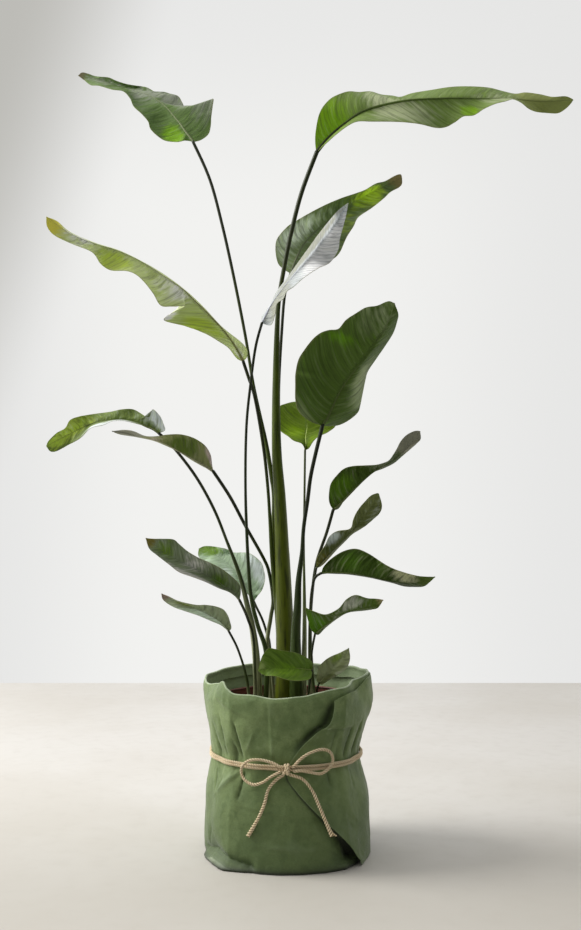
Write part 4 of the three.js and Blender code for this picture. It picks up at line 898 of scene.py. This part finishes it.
def crumple(angle, z):
    """How far creases and soft dents move the cloth in or out. Under the twine it is smoother."""
    where = on_wrap(angle, z, 0)
    soft = 0.9 * waves(where, 75, 3)
    sharp = 1.1 * (0.55 - np.abs(waves(where * (1, 1, 0.6), 52, 5)))
    small = 0.22 * (0.5 - np.abs(waves(where, 17, 8)))
    quiet = 1 - 0.6 * bump(z, TIE_HEIGHT, 8)
    near = bump(z, TIE_HEIGHT + 6, 30)
    gathers = sum(
        depth * np.exp(-np.abs(angle + 0.05 * at * np.sin(0.06 * (z - TIE_HEIGHT)) / 3 - at) / spread)
        for at, depth, spread in CREASES
    )
    return (soft + sharp + small) * quiet - 0.9 * gathers * near + folded(angle, z)


def cloth_radius(angle, z):
    return wrap_radius(angle, z) + crumple(angle, z)


RIM_LEAN = 4.5
CORNER_LEAN, LEAN_CORNER, LEAN_HEIGHT = 12, (-66, 16), 24  # how far, where, and from how far down


def lean_in(angle, below_rim):
    """How far the cloth leans in near its rim, most at the front left corner."""
    corner = CORNER_LEAN * bump(angle, *LEAN_CORNER) * np.clip(1 - below_rim / LEAN_HEIGHT, 0, 1)
    return RIM_LEAN * np.exp(-below_rim / 4) + corner


def foot_tuck(angle, z):
    """The folded corner at the foot on the left: a slanting groove, and under it a slope that faces up."""
    below = np.interp(angle, *zip(*TUCK)) - z
    inside = step_up(angle, -86, -72) * (1 - step_up(angle, -26, -18))
    above = np.exp(np.minimum(0, below) / 9)
    return inside * (-TUCK_DEPTH * above + TUCK_SLOPE * np.clip(below, 0, 14))


def lap_edge_angle(z):
    """Where the free edge of the lapped corner is at each height."""
    angles, heights = zip(*LAP_EDGE)
    return np.interp(z, heights, angles)


UPPER_DIP, LOWER_DIP = 6.5, 16.0  # above and below the twine


def under_lap(angle, z):
    """How far the sheet dips in where it goes under the lapped corner."""
    edge = lap_edge_angle(z)
    upper = UPPER_DIP * bump(angle, edge - 1, 6) * step_up(z, TIE_HEIGHT + 8, TIE_HEIGHT + 50)
    upper *= 1 - 0.6 * step_up(z, 236, 262)
    wide = 4 + 8 * step_up(-z, -70, 0)
    slope = np.where(angle < edge + 1, bump(angle, edge + 1, wide), bump(angle, edge + 1, 5))
    lower = LOWER_DIP * slope * step_up(-z, -92, -10) * (0.1 + 0.9 * step_up(z, 2, 17))
    beneath = 3 * step_up(angle, edge, edge + 10) * (1 - step_up(angle, 70, 90))
    return upper + lower + beneath


def in_shade(angle, z):
    """How much shade is painted on a place in the gap under the free edge and along it, from 0 to 1."""
    edge = lap_edge_angle(z)
    before = np.maximum(0, edge + 1 - angle)
    low = np.exp(-((before / (1.5 + 3.5 * step_up(-z, -80, 0))) ** 2)) * step_up(-z, -96, -34)
    low *= (1 - step_up(angle, 70, 88)) * step_up(z, 4, 15)
    line = 0.8 * bump(angle, edge - 0.8, 1.1) * (z < TIE_HEIGHT)
    high = bump(angle, edge - 0.5, 3) * step_up(z, TIE_HEIGHT + 12, TIE_HEIGHT + 44)
    return np.clip(np.maximum(low, line) + 0.8 * high * (1 - step_up(z, 244, 262)), 0, 1)


ROUND = 290  # steps round the wrap
FRONT_SHARE = 0.35  # how much closer together the steps are at the front than on average
FOOT_ROUND = 3.0  # radius of the turn from the wrap's flat foot into its wall
HEM_FOLD = 1.6  # radius of the fold at the rim
HEM_DEPTH = 17.0
# the hem's fold gets a painted highlight
HEM_HIGHLIGHT = 6.0  # the fold is as pale as a crease of this height
FOOT_ROWS, BEND_ROWS, WALL_ROWS = 10, 7, 106  # of points across the foot, round a bend, up the wall


def wrap_wall():
    """The sheet: a flat foot, the wall up to the rim, and the hem that is folded in at the rim."""
    w = np.linspace(-1, 1, ROUND, endpoint=False)
    angle = 180 * (w - FRONT_SHARE * np.sin(math.pi * w) / math.pi)
    rim = look_up(RIM, angle) + 0.9 * waves(around(WALL_RADIUS, angle, RIM_HEIGHT), 40, 12)
    rows, marks = [], []

    def row(radius, z, crease, painted_shade=0.0):
        rows.append(around(radius, angle, z))
        marks.append(stacked(crease, painted_shade, 0 * angle))

    def wall(z):
        change = crumple(angle, z) + foot_tuck(angle, z)
        inward = under_lap(angle, z) + lean_in(angle, rim - z)
        return wrap_radius(angle, z) + change - inward, change

    half = CLOTH / 2
    foot_edge, _ = wall(FOOT_ROUND + 0 * angle)
    for share in np.linspace(0, 1, FOOT_ROWS, endpoint=False):
        row((foot_edge - FOOT_ROUND) * share, half, 0)
    for bend in np.linspace(0, math.pi / 2, BEND_ROWS, endpoint=False):
        out = foot_edge - FOOT_ROUND * (1 - math.sin(bend))
        # painted shade where the foot turns into the wall
        row(out, half + (FOOT_ROUND - half) * (1 - math.cos(bend)), 0, 0.9)
    for share in np.linspace(0, 1, WALL_ROWS):
        z = FOOT_ROUND + (rim - HEM_FOLD - FOOT_ROUND) * share
        radius, change = wall(z)
        # painted shade near the floor and under the lapped corner; the crease mark rising towards the rim
        # paints a highlight
        near_floor = 0.92 * np.exp((FOOT_ROUND - z) / 5)
        shade = np.maximum(near_floor, in_shade(angle, z))
        row(radius, z, change + 1.2 * np.exp((z - rim) / 3), shade)
    top = rows[-1]
    edge = np.linalg.norm(top[:, :2], axis=1)
    for bend in np.linspace(0, math.pi, BEND_ROWS)[1:]:
        row(edge - HEM_FOLD * (1 - math.cos(bend)), top[:, 2] + HEM_FOLD * math.sin(bend), HEM_HIGHLIGHT)
    for drop in np.linspace(0, HEM_DEPTH, BEND_ROWS)[1:]:
        z = top[:, 2] - drop
        radius, change = wall(z)
        # a little painted shade inside the hem
        row(radius - 2 * HEM_FOLD - 0.04 * drop, z, change, 0.1)
    return shell(np.stack(rows)[::-1], CLOTH, np.stack(marks)[::-1], ring=True)


LAP_ROWS, LAP_COLUMNS = 104, 82
LOW_LIFT, TOP_LIFT = 11, 5  # how far the free edge stands off below and above the twine
EDGE_WEAR_AND_HIGHLIGHT = 2.6  # the free edge is paler, by as much as for a crease of this height


def wrap_lap():
    """The corner of the sheet that laps over the front; its columns are closer at the free edge."""
    v = np.linspace(0, 1, LAP_ROWS)[:, None]
    s = np.linspace(0, 1, LAP_COLUMNS) ** 1.2
    edge = through(LAP_EDGE, np.linspace(0, 1, len(LAP_EDGE)), v[:, 0])
    edge_angle, edge_z = edge[:, :1], edge[:, 1:]
    angle = edge_angle + (LAP_END - edge_angle) * s
    top = look_up(LAP_RIM, np.clip(angle, LAP_START, LAP_END))
    end_z = LAP_FOOT + (top - LAP_FOOT) * v
    z = edge_z + (end_z - edge_z) * step_up(s, 0, 0.5)
    z = np.where(v >= 1, top, z)
    low_lift = LOW_LIFT * bump(v, 0.12, 0.16) * (1 - s) ** 3
    top_lift = TOP_LIFT * bump(v, 0.82, 0.2) * (1 - s) ** 4
    held = 1 - bump(z, TIE_HEIGHT, 16)
    join = 1 - step_up(s, 0.7, 1)
    out = (WRAP_GAP + SHEET / 2) * join - 0.8 * (1 - join) + (low_lift + top_lift) * held
    change = crumple(angle, z)
    inward = lean_in(angle, top + 6 - z)
    radius = wrap_radius(angle, z) + change + out - inward * (v > 0.5)
    # the free edge is paler, as wear and painted highlight
    place = stacked(change + EDGE_WEAR_AND_HIGHLIGHT * bump(s, 0, 0.012), 0, 0)
    return shell(around(radius, angle, z), CLOTH, place)


def make_wrap():
    made = piece("wrap_cloth", [wrap_wall(), wrap_lap()], [wrap_material()], ["wrap"])


# Twine
STRANDS = 2
TWIST = 8.4  # length of one turn of the strands
TWINE_SIDES = 18
LOBE = 0.2  # how far its strands stand out, as a share of the radius
UNEVEN, UNEVEN_RUN = 0.05, 7.3  # how much its radius swells and shrinks, and over what length
BAND_FIBRES, BOW_FIBRES, KNOT_FIBRES, SPLIT_FIBRES = 160, 90, 14, 24
FIBRE_RADII = (0.09, 0.075, 0.03)  # at its foot, halfway and at its tip
FIBRE_LENGTHS = (0.8, 2.2)
FIBRE_BEND = 0.35


def rope(path, radius=TWINE_RADIUS, loose=0.0):
    """Twisted strands along a path that is about a millimetre a step, thicker at a loose end."""
    length = spaced(path) * gaps(path).sum()
    angles = 2 * math.pi * np.arange(TWINE_SIDES) / TWINE_SIDES
    lobes = np.cos(STRANDS * (angles[None, :] - 2 * math.pi * length[:, None] / TWIST))
    swell = 1 + UNEVEN * np.sin(length / UNEVEN_RUN)[:, None]
    wide = 1 + loose * np.linspace(0, 1, len(path))[:, None] ** 2
    radii = radius * (0.96 + LOBE * lobes) * swell * wide
    # the place mark is low in the grooves between the strands, where the jute paints shade
    return sweep(path, radii, stacked(0.5 + 0.5 * lobes, 0, 0))


def fuzz(path, count, seed, radius=TWINE_RADIUS):
    """Loose fibres that stand off the twine, each a thin bent spike."""
    random = np.random.default_rng(seed)
    along = unit(np.gradient(path, axis=0))
    radii = np.array(FIBRE_RADII)[:, None] * np.ones(3)
    parts = []
    for _ in range(count):
        i = random.integers(0, len(path))
        out = unit(np.cross(along[i], random.normal(size=3)))
        lean = unit(out * 0.6 + along[i] * random.uniform(-1, 1))
        reach = random.uniform(*FIBRE_LENGTHS)
        base = path[i] + out * radius * 0.75
        curve = np.stack([base, base + lean * reach * 0.5, base + (lean + FIBRE_BEND * out) * reach])
        parts.append(sweep(curve, radii, (1.0, 0, 0)))
    return parts


# The bow's loose lengths: points as x, z beside the knot and how far they stand off the wrap.
BOW = {
    "bow_loop_left": [
        (-9.4, 3, 10), (-22, 9, 9), (-40, 13, 11), (-56, 11, 12), (-66, 2, 12), (-68, -9, 11),
        (-62, -19, 11), (-50, -24, 12), (-37, -20, 13), (-24, -11, 13), (-9.4, -3.6, 10.5)],
    "bow_loop_right": [
        (9.4, 3, 10), (20, 15, 11), (33, 24, 13), (50, 29, 14), (63, 25, 14), (69, 13, 13),
        (66, 1, 12), (52, -8, 12), (36, -5, 13), (22, -2, 12), (9.4, -3, 10.5)],
    "bow_tail_left": [
        (-4.2, -8, 9.6), (-16, -16, 9), (-28, -32, 7), (-33, -52, 5.5), (-42, -74, 4.6), (-57, -102, 4.2)],
    "bow_tail_right": [
        (4.2, -8, 9.6), (24, -15, 11), (38, -32, 13), (47, -52, 15), (54, -69, 17), (66, -98, 21)],
}


def bow_path(rows, steps):
    x, rise, out = np.array(rows, float).T
    z = TIE_HEIGHT + rise
    angle = np.degrees(np.arcsin(x / (wrap_radius(0, z) + out)))
    return fitted(on_wrap(angle, z, out), steps)


BOW_STEPS = 170
SPLIT_STEPS = 26  # the last steps of a tail, where its strands have come apart
SPLIT_AWAY = np.array((7.5, -2.0, -1.0))  # how far the second strand has moved aside at its end
STRAND_RADIUS = 0.9
LOOSE_END = 0.3  # how much thicker a tail is at its end, as a share


def split_end(path):
    """The second strand where the twine's end has come apart."""
    run = path[-SPLIT_STEPS:] - path[-SPLIT_STEPS]
    share = np.linspace(0, 1, SPLIT_STEPS)[:, None]
    return path[-SPLIT_STEPS] + run * (1 - 0.12 * share) + SPLIT_AWAY * share**1.4


def make_bow(jute):
    for name, rows in BOW.items():
        path = bow_path(rows, BOW_STEPS)
        tail = "tail" in name
        seed = len(name) * 7 + len(rows)
        parts = [rope(path, loose=LOOSE_END if tail else 0.0), *fuzz(path, BOW_FIBRES, seed)]
        made = piece(name + "_twine", parts, [jute], [name])
        with_pieces = []
        if name == "bow_tail_right":
            strand = split_end(path)
            frayed = [rope(strand, STRAND_RADIUS), *fuzz(strand, SPLIT_FIBRES, 5, 0.75)]
            with_pieces = [piece("bow_frayed_strand", frayed, [jute], [])]
        gaps(path).sum() * MM


def outermost(angle):
    """How far the outermost layer of the wrap stands out at the height of the twine."""
    lapped = step_up(angle, -5, 1) * (1 - step_up(angle, LAP_END - 20, LAP_END))
    return (WRAP_GAP + SHEET + CLEARANCE) * lapped


BAND_STEPS = 760
EASED = 9  # steps on each side over which the band is pulled straight
KNOT_OUT = 9.8  # from the wrap to the middle of the knot
KNOT_TWINE = 1.9  # radius of the twine where it is drawn tight
KNOT_TURNS, KNOT_STEPS = 0.56, 46  # of a turn to each side of its middle, and points in a loop
# Loops of the knot: how far aside, the lean, the radius, and a seed.
KNOT_LOOPS = ((-1.6, 0.5, 6.0, 31), (0.0, -0.35, 6.6, 32), (1.6, 0.08, 7.0, 33))


def make_band(jute):
    """Two turns of twine side by side, and the knot where the bow is tied."""
    angle = np.linspace(-180, 180, BAND_STEPS)
    parts = []
    for turn, rise in enumerate((-TWINE_RADIUS, TWINE_RADIUS)):
        z = TIE_HEIGHT + rise * (1 + 0.12 * np.sin(np.radians(3 * angle + 40 * turn)))
        near = [cloth_radius(angle + d, z) + outermost(angle + d) for d in (-3, 0, 3)]
        clear = np.maximum.reduce(near) + TWINE_RADIUS
        ringed = np.concatenate([clear[-EASED:], clear, clear[:EASED]])
        clear = np.convolve(ringed, np.ones(2 * EASED + 1) / (2 * EASED + 1), "valid")
        path = around(clear, angle, z)
        parts += [rope(path), *fuzz(path, BAND_FIBRES, 21 + turn)]
    middle = on_wrap(0.0, TIE_HEIGHT, KNOT_OUT)
    t = np.linspace(-KNOT_TURNS, KNOT_TURNS, KNOT_STEPS) * 2 * math.pi
    for shift, tilt, size, seed in KNOT_LOOPS:
        x = 9 * tilt * np.sin(t / 2) + shift
        loop = middle + stacked(x, -0.8 * size * np.cos(t), size * np.sin(t))
        parts += [rope(loop, KNOT_TWINE), *fuzz(loop, KNOT_FIBRES, seed)]
    piece("twine_band_and_knot", parts, [jute], ["twine_band"])


# Pot and soil
POT_FLOOR = SHEET + CLEARANCE
POT_FOOT_RADIUS = 96.0
POT_BAND = 16.0  # height of the band round the rim
BAND_OUT = 3.0  # how far it stands out
LIP_DROP, LIP_RISE = 3.0, 2.1  # from the rim's height down to where the lip starts, and up to its top
LIP_ROUND = 1.6
POT_STEPS = 160


def pot_radius(z):
    widens = POT_RIM_RADIUS - BAND_OUT - POT_FOOT_RADIUS
    return POT_FOOT_RADIUS + widens * (z - POT_FLOOR) / POT_RIM_HEIGHT


def make_pot():
    angle = np.linspace(-180, 180, POT_STEPS, endpoint=False)
    half = POT_WALL / 2
    under, rim, start = POT_RIM_HEIGHT - POT_BAND, POT_RIM_RADIUS - half, POT_RIM_HEIGHT - LIP_DROP
    profile = [(r * (pot_radius(POT_FLOOR) - half - 2), POT_FLOOR + half) for r in np.linspace(0, 1, 8)]
    profile += [(pot_radius(z) - half, z) for z in np.linspace(POT_FLOOR + half, under, 24)[1:]]
    profile += [(rim, z) for z in np.linspace(under + 2, start, 6)]
    for bend in np.linspace(0.4, 2.6, 6):
        profile.append((rim - LIP_ROUND * (1 - math.cos(bend)), start + LIP_RISE * math.sin(bend)))
    skin = shell(np.stack([around(r, angle, z) for r, z in profile])[::-1], POT_WALL, ring=True)
    piece("nursery_pot_moulded", [skin], [pot_material()], ["nursery_pot"])


def stalk_clear(points, margin):
    """True where points on the soil are clear of every stalk."""
    clear = np.ones(len(points), bool)
    for leaf in LEAVES:
        reach = leaf["radii"][0] + margin
        clear &= np.hypot(points[:, 0] - leaf["foot"][0], points[:, 1] - leaf["foot"][1]) > reach
    return clear


SOIL_STEPS = 180
SOIL_RINGS = 52
SOIL_HUMPS = ((1.4, 34, 41), (0.9, 11, 42), (0.5, 5, 43))  # height, size and a seed
SOIL_GAP = 1.5  # from the soil to the pot's wall
CRUMBS = 3400
CRUMB_SIZES = (1.1, 3.4)


def make_soil():
    """A filled body with an uneven top, and crumbs strewn on it."""
    random = np.random.default_rng(17)
    angle = np.linspace(-180, 180, SOIL_STEPS, endpoint=False)
    fill = lambda z: pot_radius(z) - POT_WALL - SOIL_GAP
    edge = pot_radius(SOIL_TOP) - POT_WALL - 2
    rows = [around(r * fill(SOIL_BOTTOM), angle, SOIL_BOTTOM) for r in np.linspace(0, 1, 4)]
    rows += [around(fill(z), angle, z) for z in np.linspace(SOIL_BOTTOM + 2, SOIL_TOP - 8, 10)]
    for share in np.linspace(1, 0, SOIL_RINGS):
        flat = around(edge * share, angle, SOIL_TOP)
        height = sum(high * waves(flat, size, seed) for high, size, seed in SOIL_HUMPS)
        flat[:, 2] += height * min(1, share * 8) - 3.5 * step_up(share, 0.9, 1)
        rows.append(flat)
    parts = [part(np.concatenate(rows), quads(len(rows), SOIL_STEPS, ring=True))]
    ball = bmesh.new()
    bmesh.ops.create_icosphere(ball, subdivisions=1, radius=1)
    corners = np.array([v.co for v in ball.verts])
    faces = np.array([[v.index for v in f.verts] + [f.verts[2].index] for f in ball.faces])
    ball.free()
    spots = random.uniform(-1, 1, (CRUMBS, 2)) * edge
    spots = spots[np.hypot(*spots.T) < edge - 3]
    for x, y in spots[stalk_clear(spots, 2)]:
        size = random.uniform(*CRUMB_SIZES) * (1.5 if random.random() < 0.12 else 1)
        shape = corners * random.uniform(0.6, 1.25, (len(corners), 1)) * random.uniform(0.5, 1.1, 3)
        turned = np.linalg.qr(random.normal(size=(3, 3)))[0]
        place = np.array((x, y, SOIL_TOP + random.uniform(-0.6, 1.2)))
        parts.append(part(shape @ turned.T * size + place, faces))
    piece("soil_crumbs", parts, [soil_material()], ["soil"])


# Leaves
WIDEST = 0.36  # how far along the rib a blade is widest
VEIN_LEAN = 0.75  # how far a side vein runs forward for each millimetre that it runs out
STEP = 1.5  # between the rows of a blade
ACROSS = 15  # columns in half a blade
LEAST_WIDTH = 0.8  # of half a blade, at its two ends
SAMPLES = 41  # places along a blade where its seen width is measured
REACH = 3  # samples on each side that are taken together
CROWDED = 1.2  # power by which a blade's rows are closer at the stalk
NEAR = 0.01  # how far ahead and behind on the rib its direction is taken
WAVE_SHIFT = 0.37  # of a wave, from the left half to the right
BLADE_FOLDS = ((0.42, 8), (0.9, 34))  # height and size of the fine folds along the veins


def outline(t):
    """A blade's half width along its rib, as a share of the greatest."""
    base = np.sqrt(np.maximum(0, 1 - (1 - np.minimum(t, WIDEST) / WIDEST) ** 2))
    point = np.maximum(0, 1 - (np.maximum(0, t - WIDEST) / (1 - WIDEST)) ** 1.7) ** 0.9
    return np.where(t < WIDEST, base, point)


def rib_points(leaf):
    x, z, y = np.array(leaf["rib"], float).T
    return from_front(x, z, y)


def to_edge(leaf, side, t, spine):
    """From the rib to the edge, as it is seen from the front."""
    ends = np.array([leaf["rib"][0][:2], leaf["rib"][-1][:2]], float)
    rows = np.concatenate([ends[:1], np.array(leaf[side], float), ends[1:]])
    x, z = through(rows, spaced(rows), t).T
    return from_front(x, z, spine[:, 1]) - spine


def over_neighbours(values, how):
    return np.array([how(values[max(0, k - REACH) : k + REACH + 1]) for k in range(len(values))])


def turned_away(leaf, side, t):
    """How far the edge is in front of the rib or behind it, so that the blade has its width."""
    points = rib_points(leaf)
    places = np.linspace(0, 1, SAMPLES)
    spine = through(points, spaced(points), places)
    seen = np.linalg.norm(to_edge(leaf, side, places, spine), axis=1)
    seen = over_neighbours(over_neighbours(seen, np.max), np.mean)
    whole = leaf["half_width"] * outline(places)
    depth = np.sqrt(np.maximum(0, whole**2 - seen**2))
    return through(depth, places, t)


def blade(leaf, seed):
    """The blade as one thin shell, and the points of its rib."""
    points = rib_points(leaf)
    places = spaced(points)
    length = gaps(points).sum()
    t = np.linspace(0, 1, int(length / STEP) + 1) ** CROWDED
    spine = through(points, places, t)
    ahead, behind = (through(points, places, np.clip(t + d, 0, 1)) for d in (NEAR, -NEAR))
    along = unit(ahead - behind)
    sight = unit(EYE - spine)
    left = unit(np.cross(sight, along))
    height, count = leaf["wave"]
    share = np.linspace(0, 1, ACROSS + 1)[None, :]
    taper = outline(t)[:, None]
    halves = []
    for side, sign in (("left", 1), ("right", -1)):
        out = to_edge(leaf, side, t, spine)
        seen = np.linalg.norm(out, axis=1)
        out = out + left * (sign * np.maximum(0, LEAST_WIDTH - seen))[:, None]
        deep = turned_away(leaf, side, t)
        width = np.hypot(seen, deep)[:, None]
        turn = WAVE_SHIFT * (sign < 0)
        ripple = height * share**1.5 * np.sin(2 * math.pi * (count * t + turn))[:, None] * taper
        phase = (t * length)[:, None] - VEIN_LEAN * width * (0.6 * share + 0.4 * share**2)
        where = stacked(phase, 9 * share, 40 * sign)
        fold = sum(high * waves(where, size, seed + k) for k, (high, size) in enumerate(BLADE_FOLDS))
        fold *= np.minimum(1, 4 * share) * np.sqrt(taper)
        bow = leaf["lean"][sign < 0] * deep[:, None] * share**1.6
        half = spine[:, None, :] + out[:, None, :] * share[..., None]
        half = half + sight[:, None, :] * (bow + ripple + fold)[..., None]
        # tone: where light (above 0) and sheen (below 0) are painted on the blade
        tone = 0
        for place_t, place_v, spread_t, spread_v, strength in leaf["spots"]:
            spot = strength * bump(t[:, None], place_t, spread_t)
            tone = tone + spot * bump(-sign * share, place_v, spread_v)
        place = stacked(phase * MM, share, t[:, None])
        halves.append((half, place, stacked(np.clip(tone, -1, 1), sign, 0)))
    grid, place, looks = (np.concatenate([a[:, :0:-1], b], axis=1) for a, b in zip(*halves))
    return shell(grid, BLADE_THICKNESS, place, looks), spine, sight


RIB_SIDES = 12
RIB_TIP = 0.3  # radius of a midrib at the blade's tip
RIB_SHARE = 0.85  # of the stalk's radius, where the midrib starts


def midrib(leaf, spine, sight):
    """The rib along the blade, which thins out to the tip."""
    thick = RIB_SHARE * leaf["radii"][1]
    line = spine[::2]
    t = np.linspace(0, 1, len(line))[:, None]
    radius = RIB_TIP + (thick - RIB_TIP) * (1 - t) ** leaf.get("rib_taper", 2.2)
    line = line + sight[::2] * (leaf.get("rib_out", -0.45) * radius)
    length = spaced(line) * gaps(line).sum()
    radii = radius * np.ones(RIB_SIDES)
    return sweep(line, radii, stacked(length[:, None] * MM, 0 * radii, t), (0, 0, 1))


STALK_STEP = 4.0
NECK = (0.85, 0.6, 0.3)  # the last radii, inside the blade, as shares of the stalk's thin end
SCARS = (0.4, 2.3, 4.4)  # where the leaf bases that wrap a thick stalk overlap, in radians
SCAR_RUN = 900  # millimetres up the stalk in which they turn by one radian
SCAR_DEPTH = 0.05  # a share of the stalk's radius
THICK = 7  # a stalk above this radius shows them
CHANNEL = 0.16  # depth of the groove along the upper side, as a share of the radius


def stalk(leaf, spine):
    """The stalk from inside the soil to the blade."""
    foot = np.array((*leaf["foot"], SOIL_TOP), float)
    x, z, y = np.array(leaf["stalk"], float).T
    points = np.concatenate([[foot - (0, 0, ROOT_DEPTH)], [foot], from_front(x, z, y), spine[:1]])
    path = fitted(points, int(gaps(points).sum() / STALK_STEP))
    thick, thin = leaf["radii"]
    share = np.linspace(0, 1, len(path))
    radius = thin + (thick - thin) * np.maximum(0, 1 - share / leaf.get("swell", 0.6))
    path = np.concatenate([path, spine[2:8:2]])
    radius = np.concatenate([radius, thin * np.array(NECK)])[:, None]
    share = np.concatenate([share, np.ones(len(NECK))])[:, None]
    sides = 24 if thick > THICK else 16
    angles = 2 * math.pi * np.arange(sides) / sides
    distance = travelled(path)[:, None]
    steps_in = 0
    for turn in SCARS:
        wrapped = np.mod(angles - turn - distance / SCAR_RUN, 2 * math.pi) / (2 * math.pi)
        steps_in = steps_in + SCAR_DEPTH * (0.5 - wrapped)
    fade = (thick > THICK) * (1 - step_up(share, 0.25, 0.6))
    channel = -CHANNEL * bump(angles, math.pi * 1.5, 0.5) * step_up(share, 0.1, 0.6)
    radii = radius * (1 + steps_in * fade + channel)
    return sweep(path, radii, stacked(angles / (2 * math.pi), distance * MM, share), material=1)


# Colours of a stalk at its foot, halfway and at the blade
STEMS = {
    "trunk": ((92, 102, 16), (72, 88, 4), (44, 52, 20)),
    "clasping": ((92, 104, 36), (66, 82, 14), (38, 44, 20)),
    "plain": ((172, 176, 134), (56, 70, 26), (38, 44, 18)),
    "dark": ((70, 88, 36), (40, 54, 16), (32, 38, 16)),
    "pale": ((170, 176, 132), (92, 106, 50), (70, 80, 34)),
}


def make_leaves():
    stems = {kind: stalk_material("stalk_" + kind, *given) for kind, given in STEMS.items()}
    for number, leaf in enumerate(LEAVES):
        skin, spine, sight = blade(leaf, 100 + 7 * number)
        parts = [skin, midrib(leaf, spine, sight), stalk(leaf, spine)]
        materials = [blade_material(leaf), stems[leaf.get("stem", "plain")]]
        piece(leaf["node"] + "_grown", parts, materials, [leaf["node"]])


# Camera, stage and light
def make_camera():
    data = bpy.data.cameras.new("camera")
    data.sensor_width = SENSOR_WIDTH
    data.lens = FOCAL_LENGTH * SENSOR_WIDTH / PHOTO_HEIGHT
    camera = bpy.data.objects.new("camera", data)
    camera.location = tuple(EYE * MM)
    camera.rotation_euler = (math.pi / 2, 0, 0)
    bpy.context.scene.collection.objects.link(camera)
    bpy.context.scene.camera = camera


FLOOR_EDGE = 1.515  # where the floor meets the wall, in metres behind the plant
FLOOR_FRONT = -0.45
FLOOR_SIDE = 4.0


def make_floor():
    mesh = bpy.data.meshes.new("floor")
    ends = ((-1, FLOOR_FRONT), (1, FLOOR_FRONT), (1, FLOOR_EDGE), (-1, FLOOR_EDGE))
    mesh.from_pydata([(side * FLOOR_SIDE, y, 0) for side, y in ends], [], [(0, 1, 2, 3)])
    s = new_shader("floor_concrete")
    cloud, grain = s.noise(0.5, 5), s.noise(0.03, 5)
    seen = s.layers(
        (225, 222, 217),
        (cloud, 0.35, 0.65, 1.0, (215, 211, 204)),
        (grain, 0.45, 0.75, 0.25, (201, 196, 188)),
    )
    across, depth, _ = s.split(s.coordinates["Object"])
    # painted shade: the floor darkens towards the front and to both sides
    sides = s.plus(s.rise(across, 0.0, 0.7, 0.0, 0.26), s.rise(across, -0.05, -0.6, 0.0, 0.18))
    near = s.plus(s.rise(depth, 0.5, -0.3, 0.0, 0.6), sides)
    seen = s.blend(near, seen, (179, 174, 163))
    facing = s.relief(grain, 0.001, 0.15)
    mesh.materials.append(s.shown(s.surface(seen, facing, cloud, 0.42, 0.56, specular=0.3)))
    floor = bpy.data.objects.new("floor", mesh)
    bpy.context.scene.collection.objects.link(floor)


LAMP_PLACE, LAMP_TARGET = Vector((-2.4, 0.15, 2.5)), Vector((0, 0, 0.4))
LAMP_SIZE, LAMP_POWER, LAMP_TINT = 1.5, 85, (1.0, 0.985, 0.96)


def make_lamp():
    data = bpy.data.lights.new("key", "AREA")
    data.shape = "DISK"
    data.size, data.energy, data.color = LAMP_SIZE, LAMP_POWER, LAMP_TINT
    lamp = bpy.data.objects.new("key", data)
    lamp.location = LAMP_PLACE
    lamp.rotation_euler = (LAMP_TARGET - LAMP_PLACE).to_track_quat("-Z", "Y").to_euler()
    bpy.context.scene.collection.objects.link(lamp)


def make_light():
    scene = bpy.context.scene
    scene.view_settings.view_transform = "Standard"
    scene.world = bpy.data.worlds.new("studio")
    s = Shader(scene.world)
    across, depth, up = s.split(s.coordinates["Generated"])
    # What is seen behind the plant: a pale wall with painted shade to both sides and the upper left
    sides = s.plus(s.rise(across, 0.02, 0.25), s.rise(across, -0.1, -0.25))
    upper_left = s.plus(s.times(up, 0.4), s.times(across, -1.0))
    wall = s.layers((242, 242, 240), (up, 0.18, 0.36, 1.0, (232, 232, 231)))
    wall = s.blend(s.times(sides, 0.9), wall, (229, 229, 228))
    wall = s.blend(s.rise(upper_left, 0.215, 0.34), wall, (189, 188, 183))
    seen = s.node("Background", {"Color": wall}).outputs[0]
    # What lights the plant: a bright left, a weaker right and back, and a dark room in front
    aside = s.rise(depth, -0.75, 0.05, 0.5)
    left = s.times(aside, s.rise(across, 0.0, -0.9, 0.0, 1.45))
    right = s.times(aside, s.rise(across, 0.1, 0.9, 0.0, 0.5))
    back = s.rise(depth, 0.0, 0.9, 0.0, 0.5)
    top = s.rise(up, 0.1, 1.0, 0.0, 0.6)
    strength = s.plus(s.plus(left, right), s.plus(s.plus(back, top), 0.06))
    soft = s.node("Background", {"Strength": strength}).outputs[0]
    direct = s.node("LightPath").outputs["Is Camera Ray"]
    both = s.node("MixShader", {0: direct, 1: soft, 2: seen}).outputs[0]
    s.node("OutputWorld", {"Surface": both})


make_camera()
jute = twine_material()
make_bow(jute)
make_band(jute)
make_wrap()
make_pot()
make_soil()
make_leaves()
make_floor()
make_light()
make_lamp()
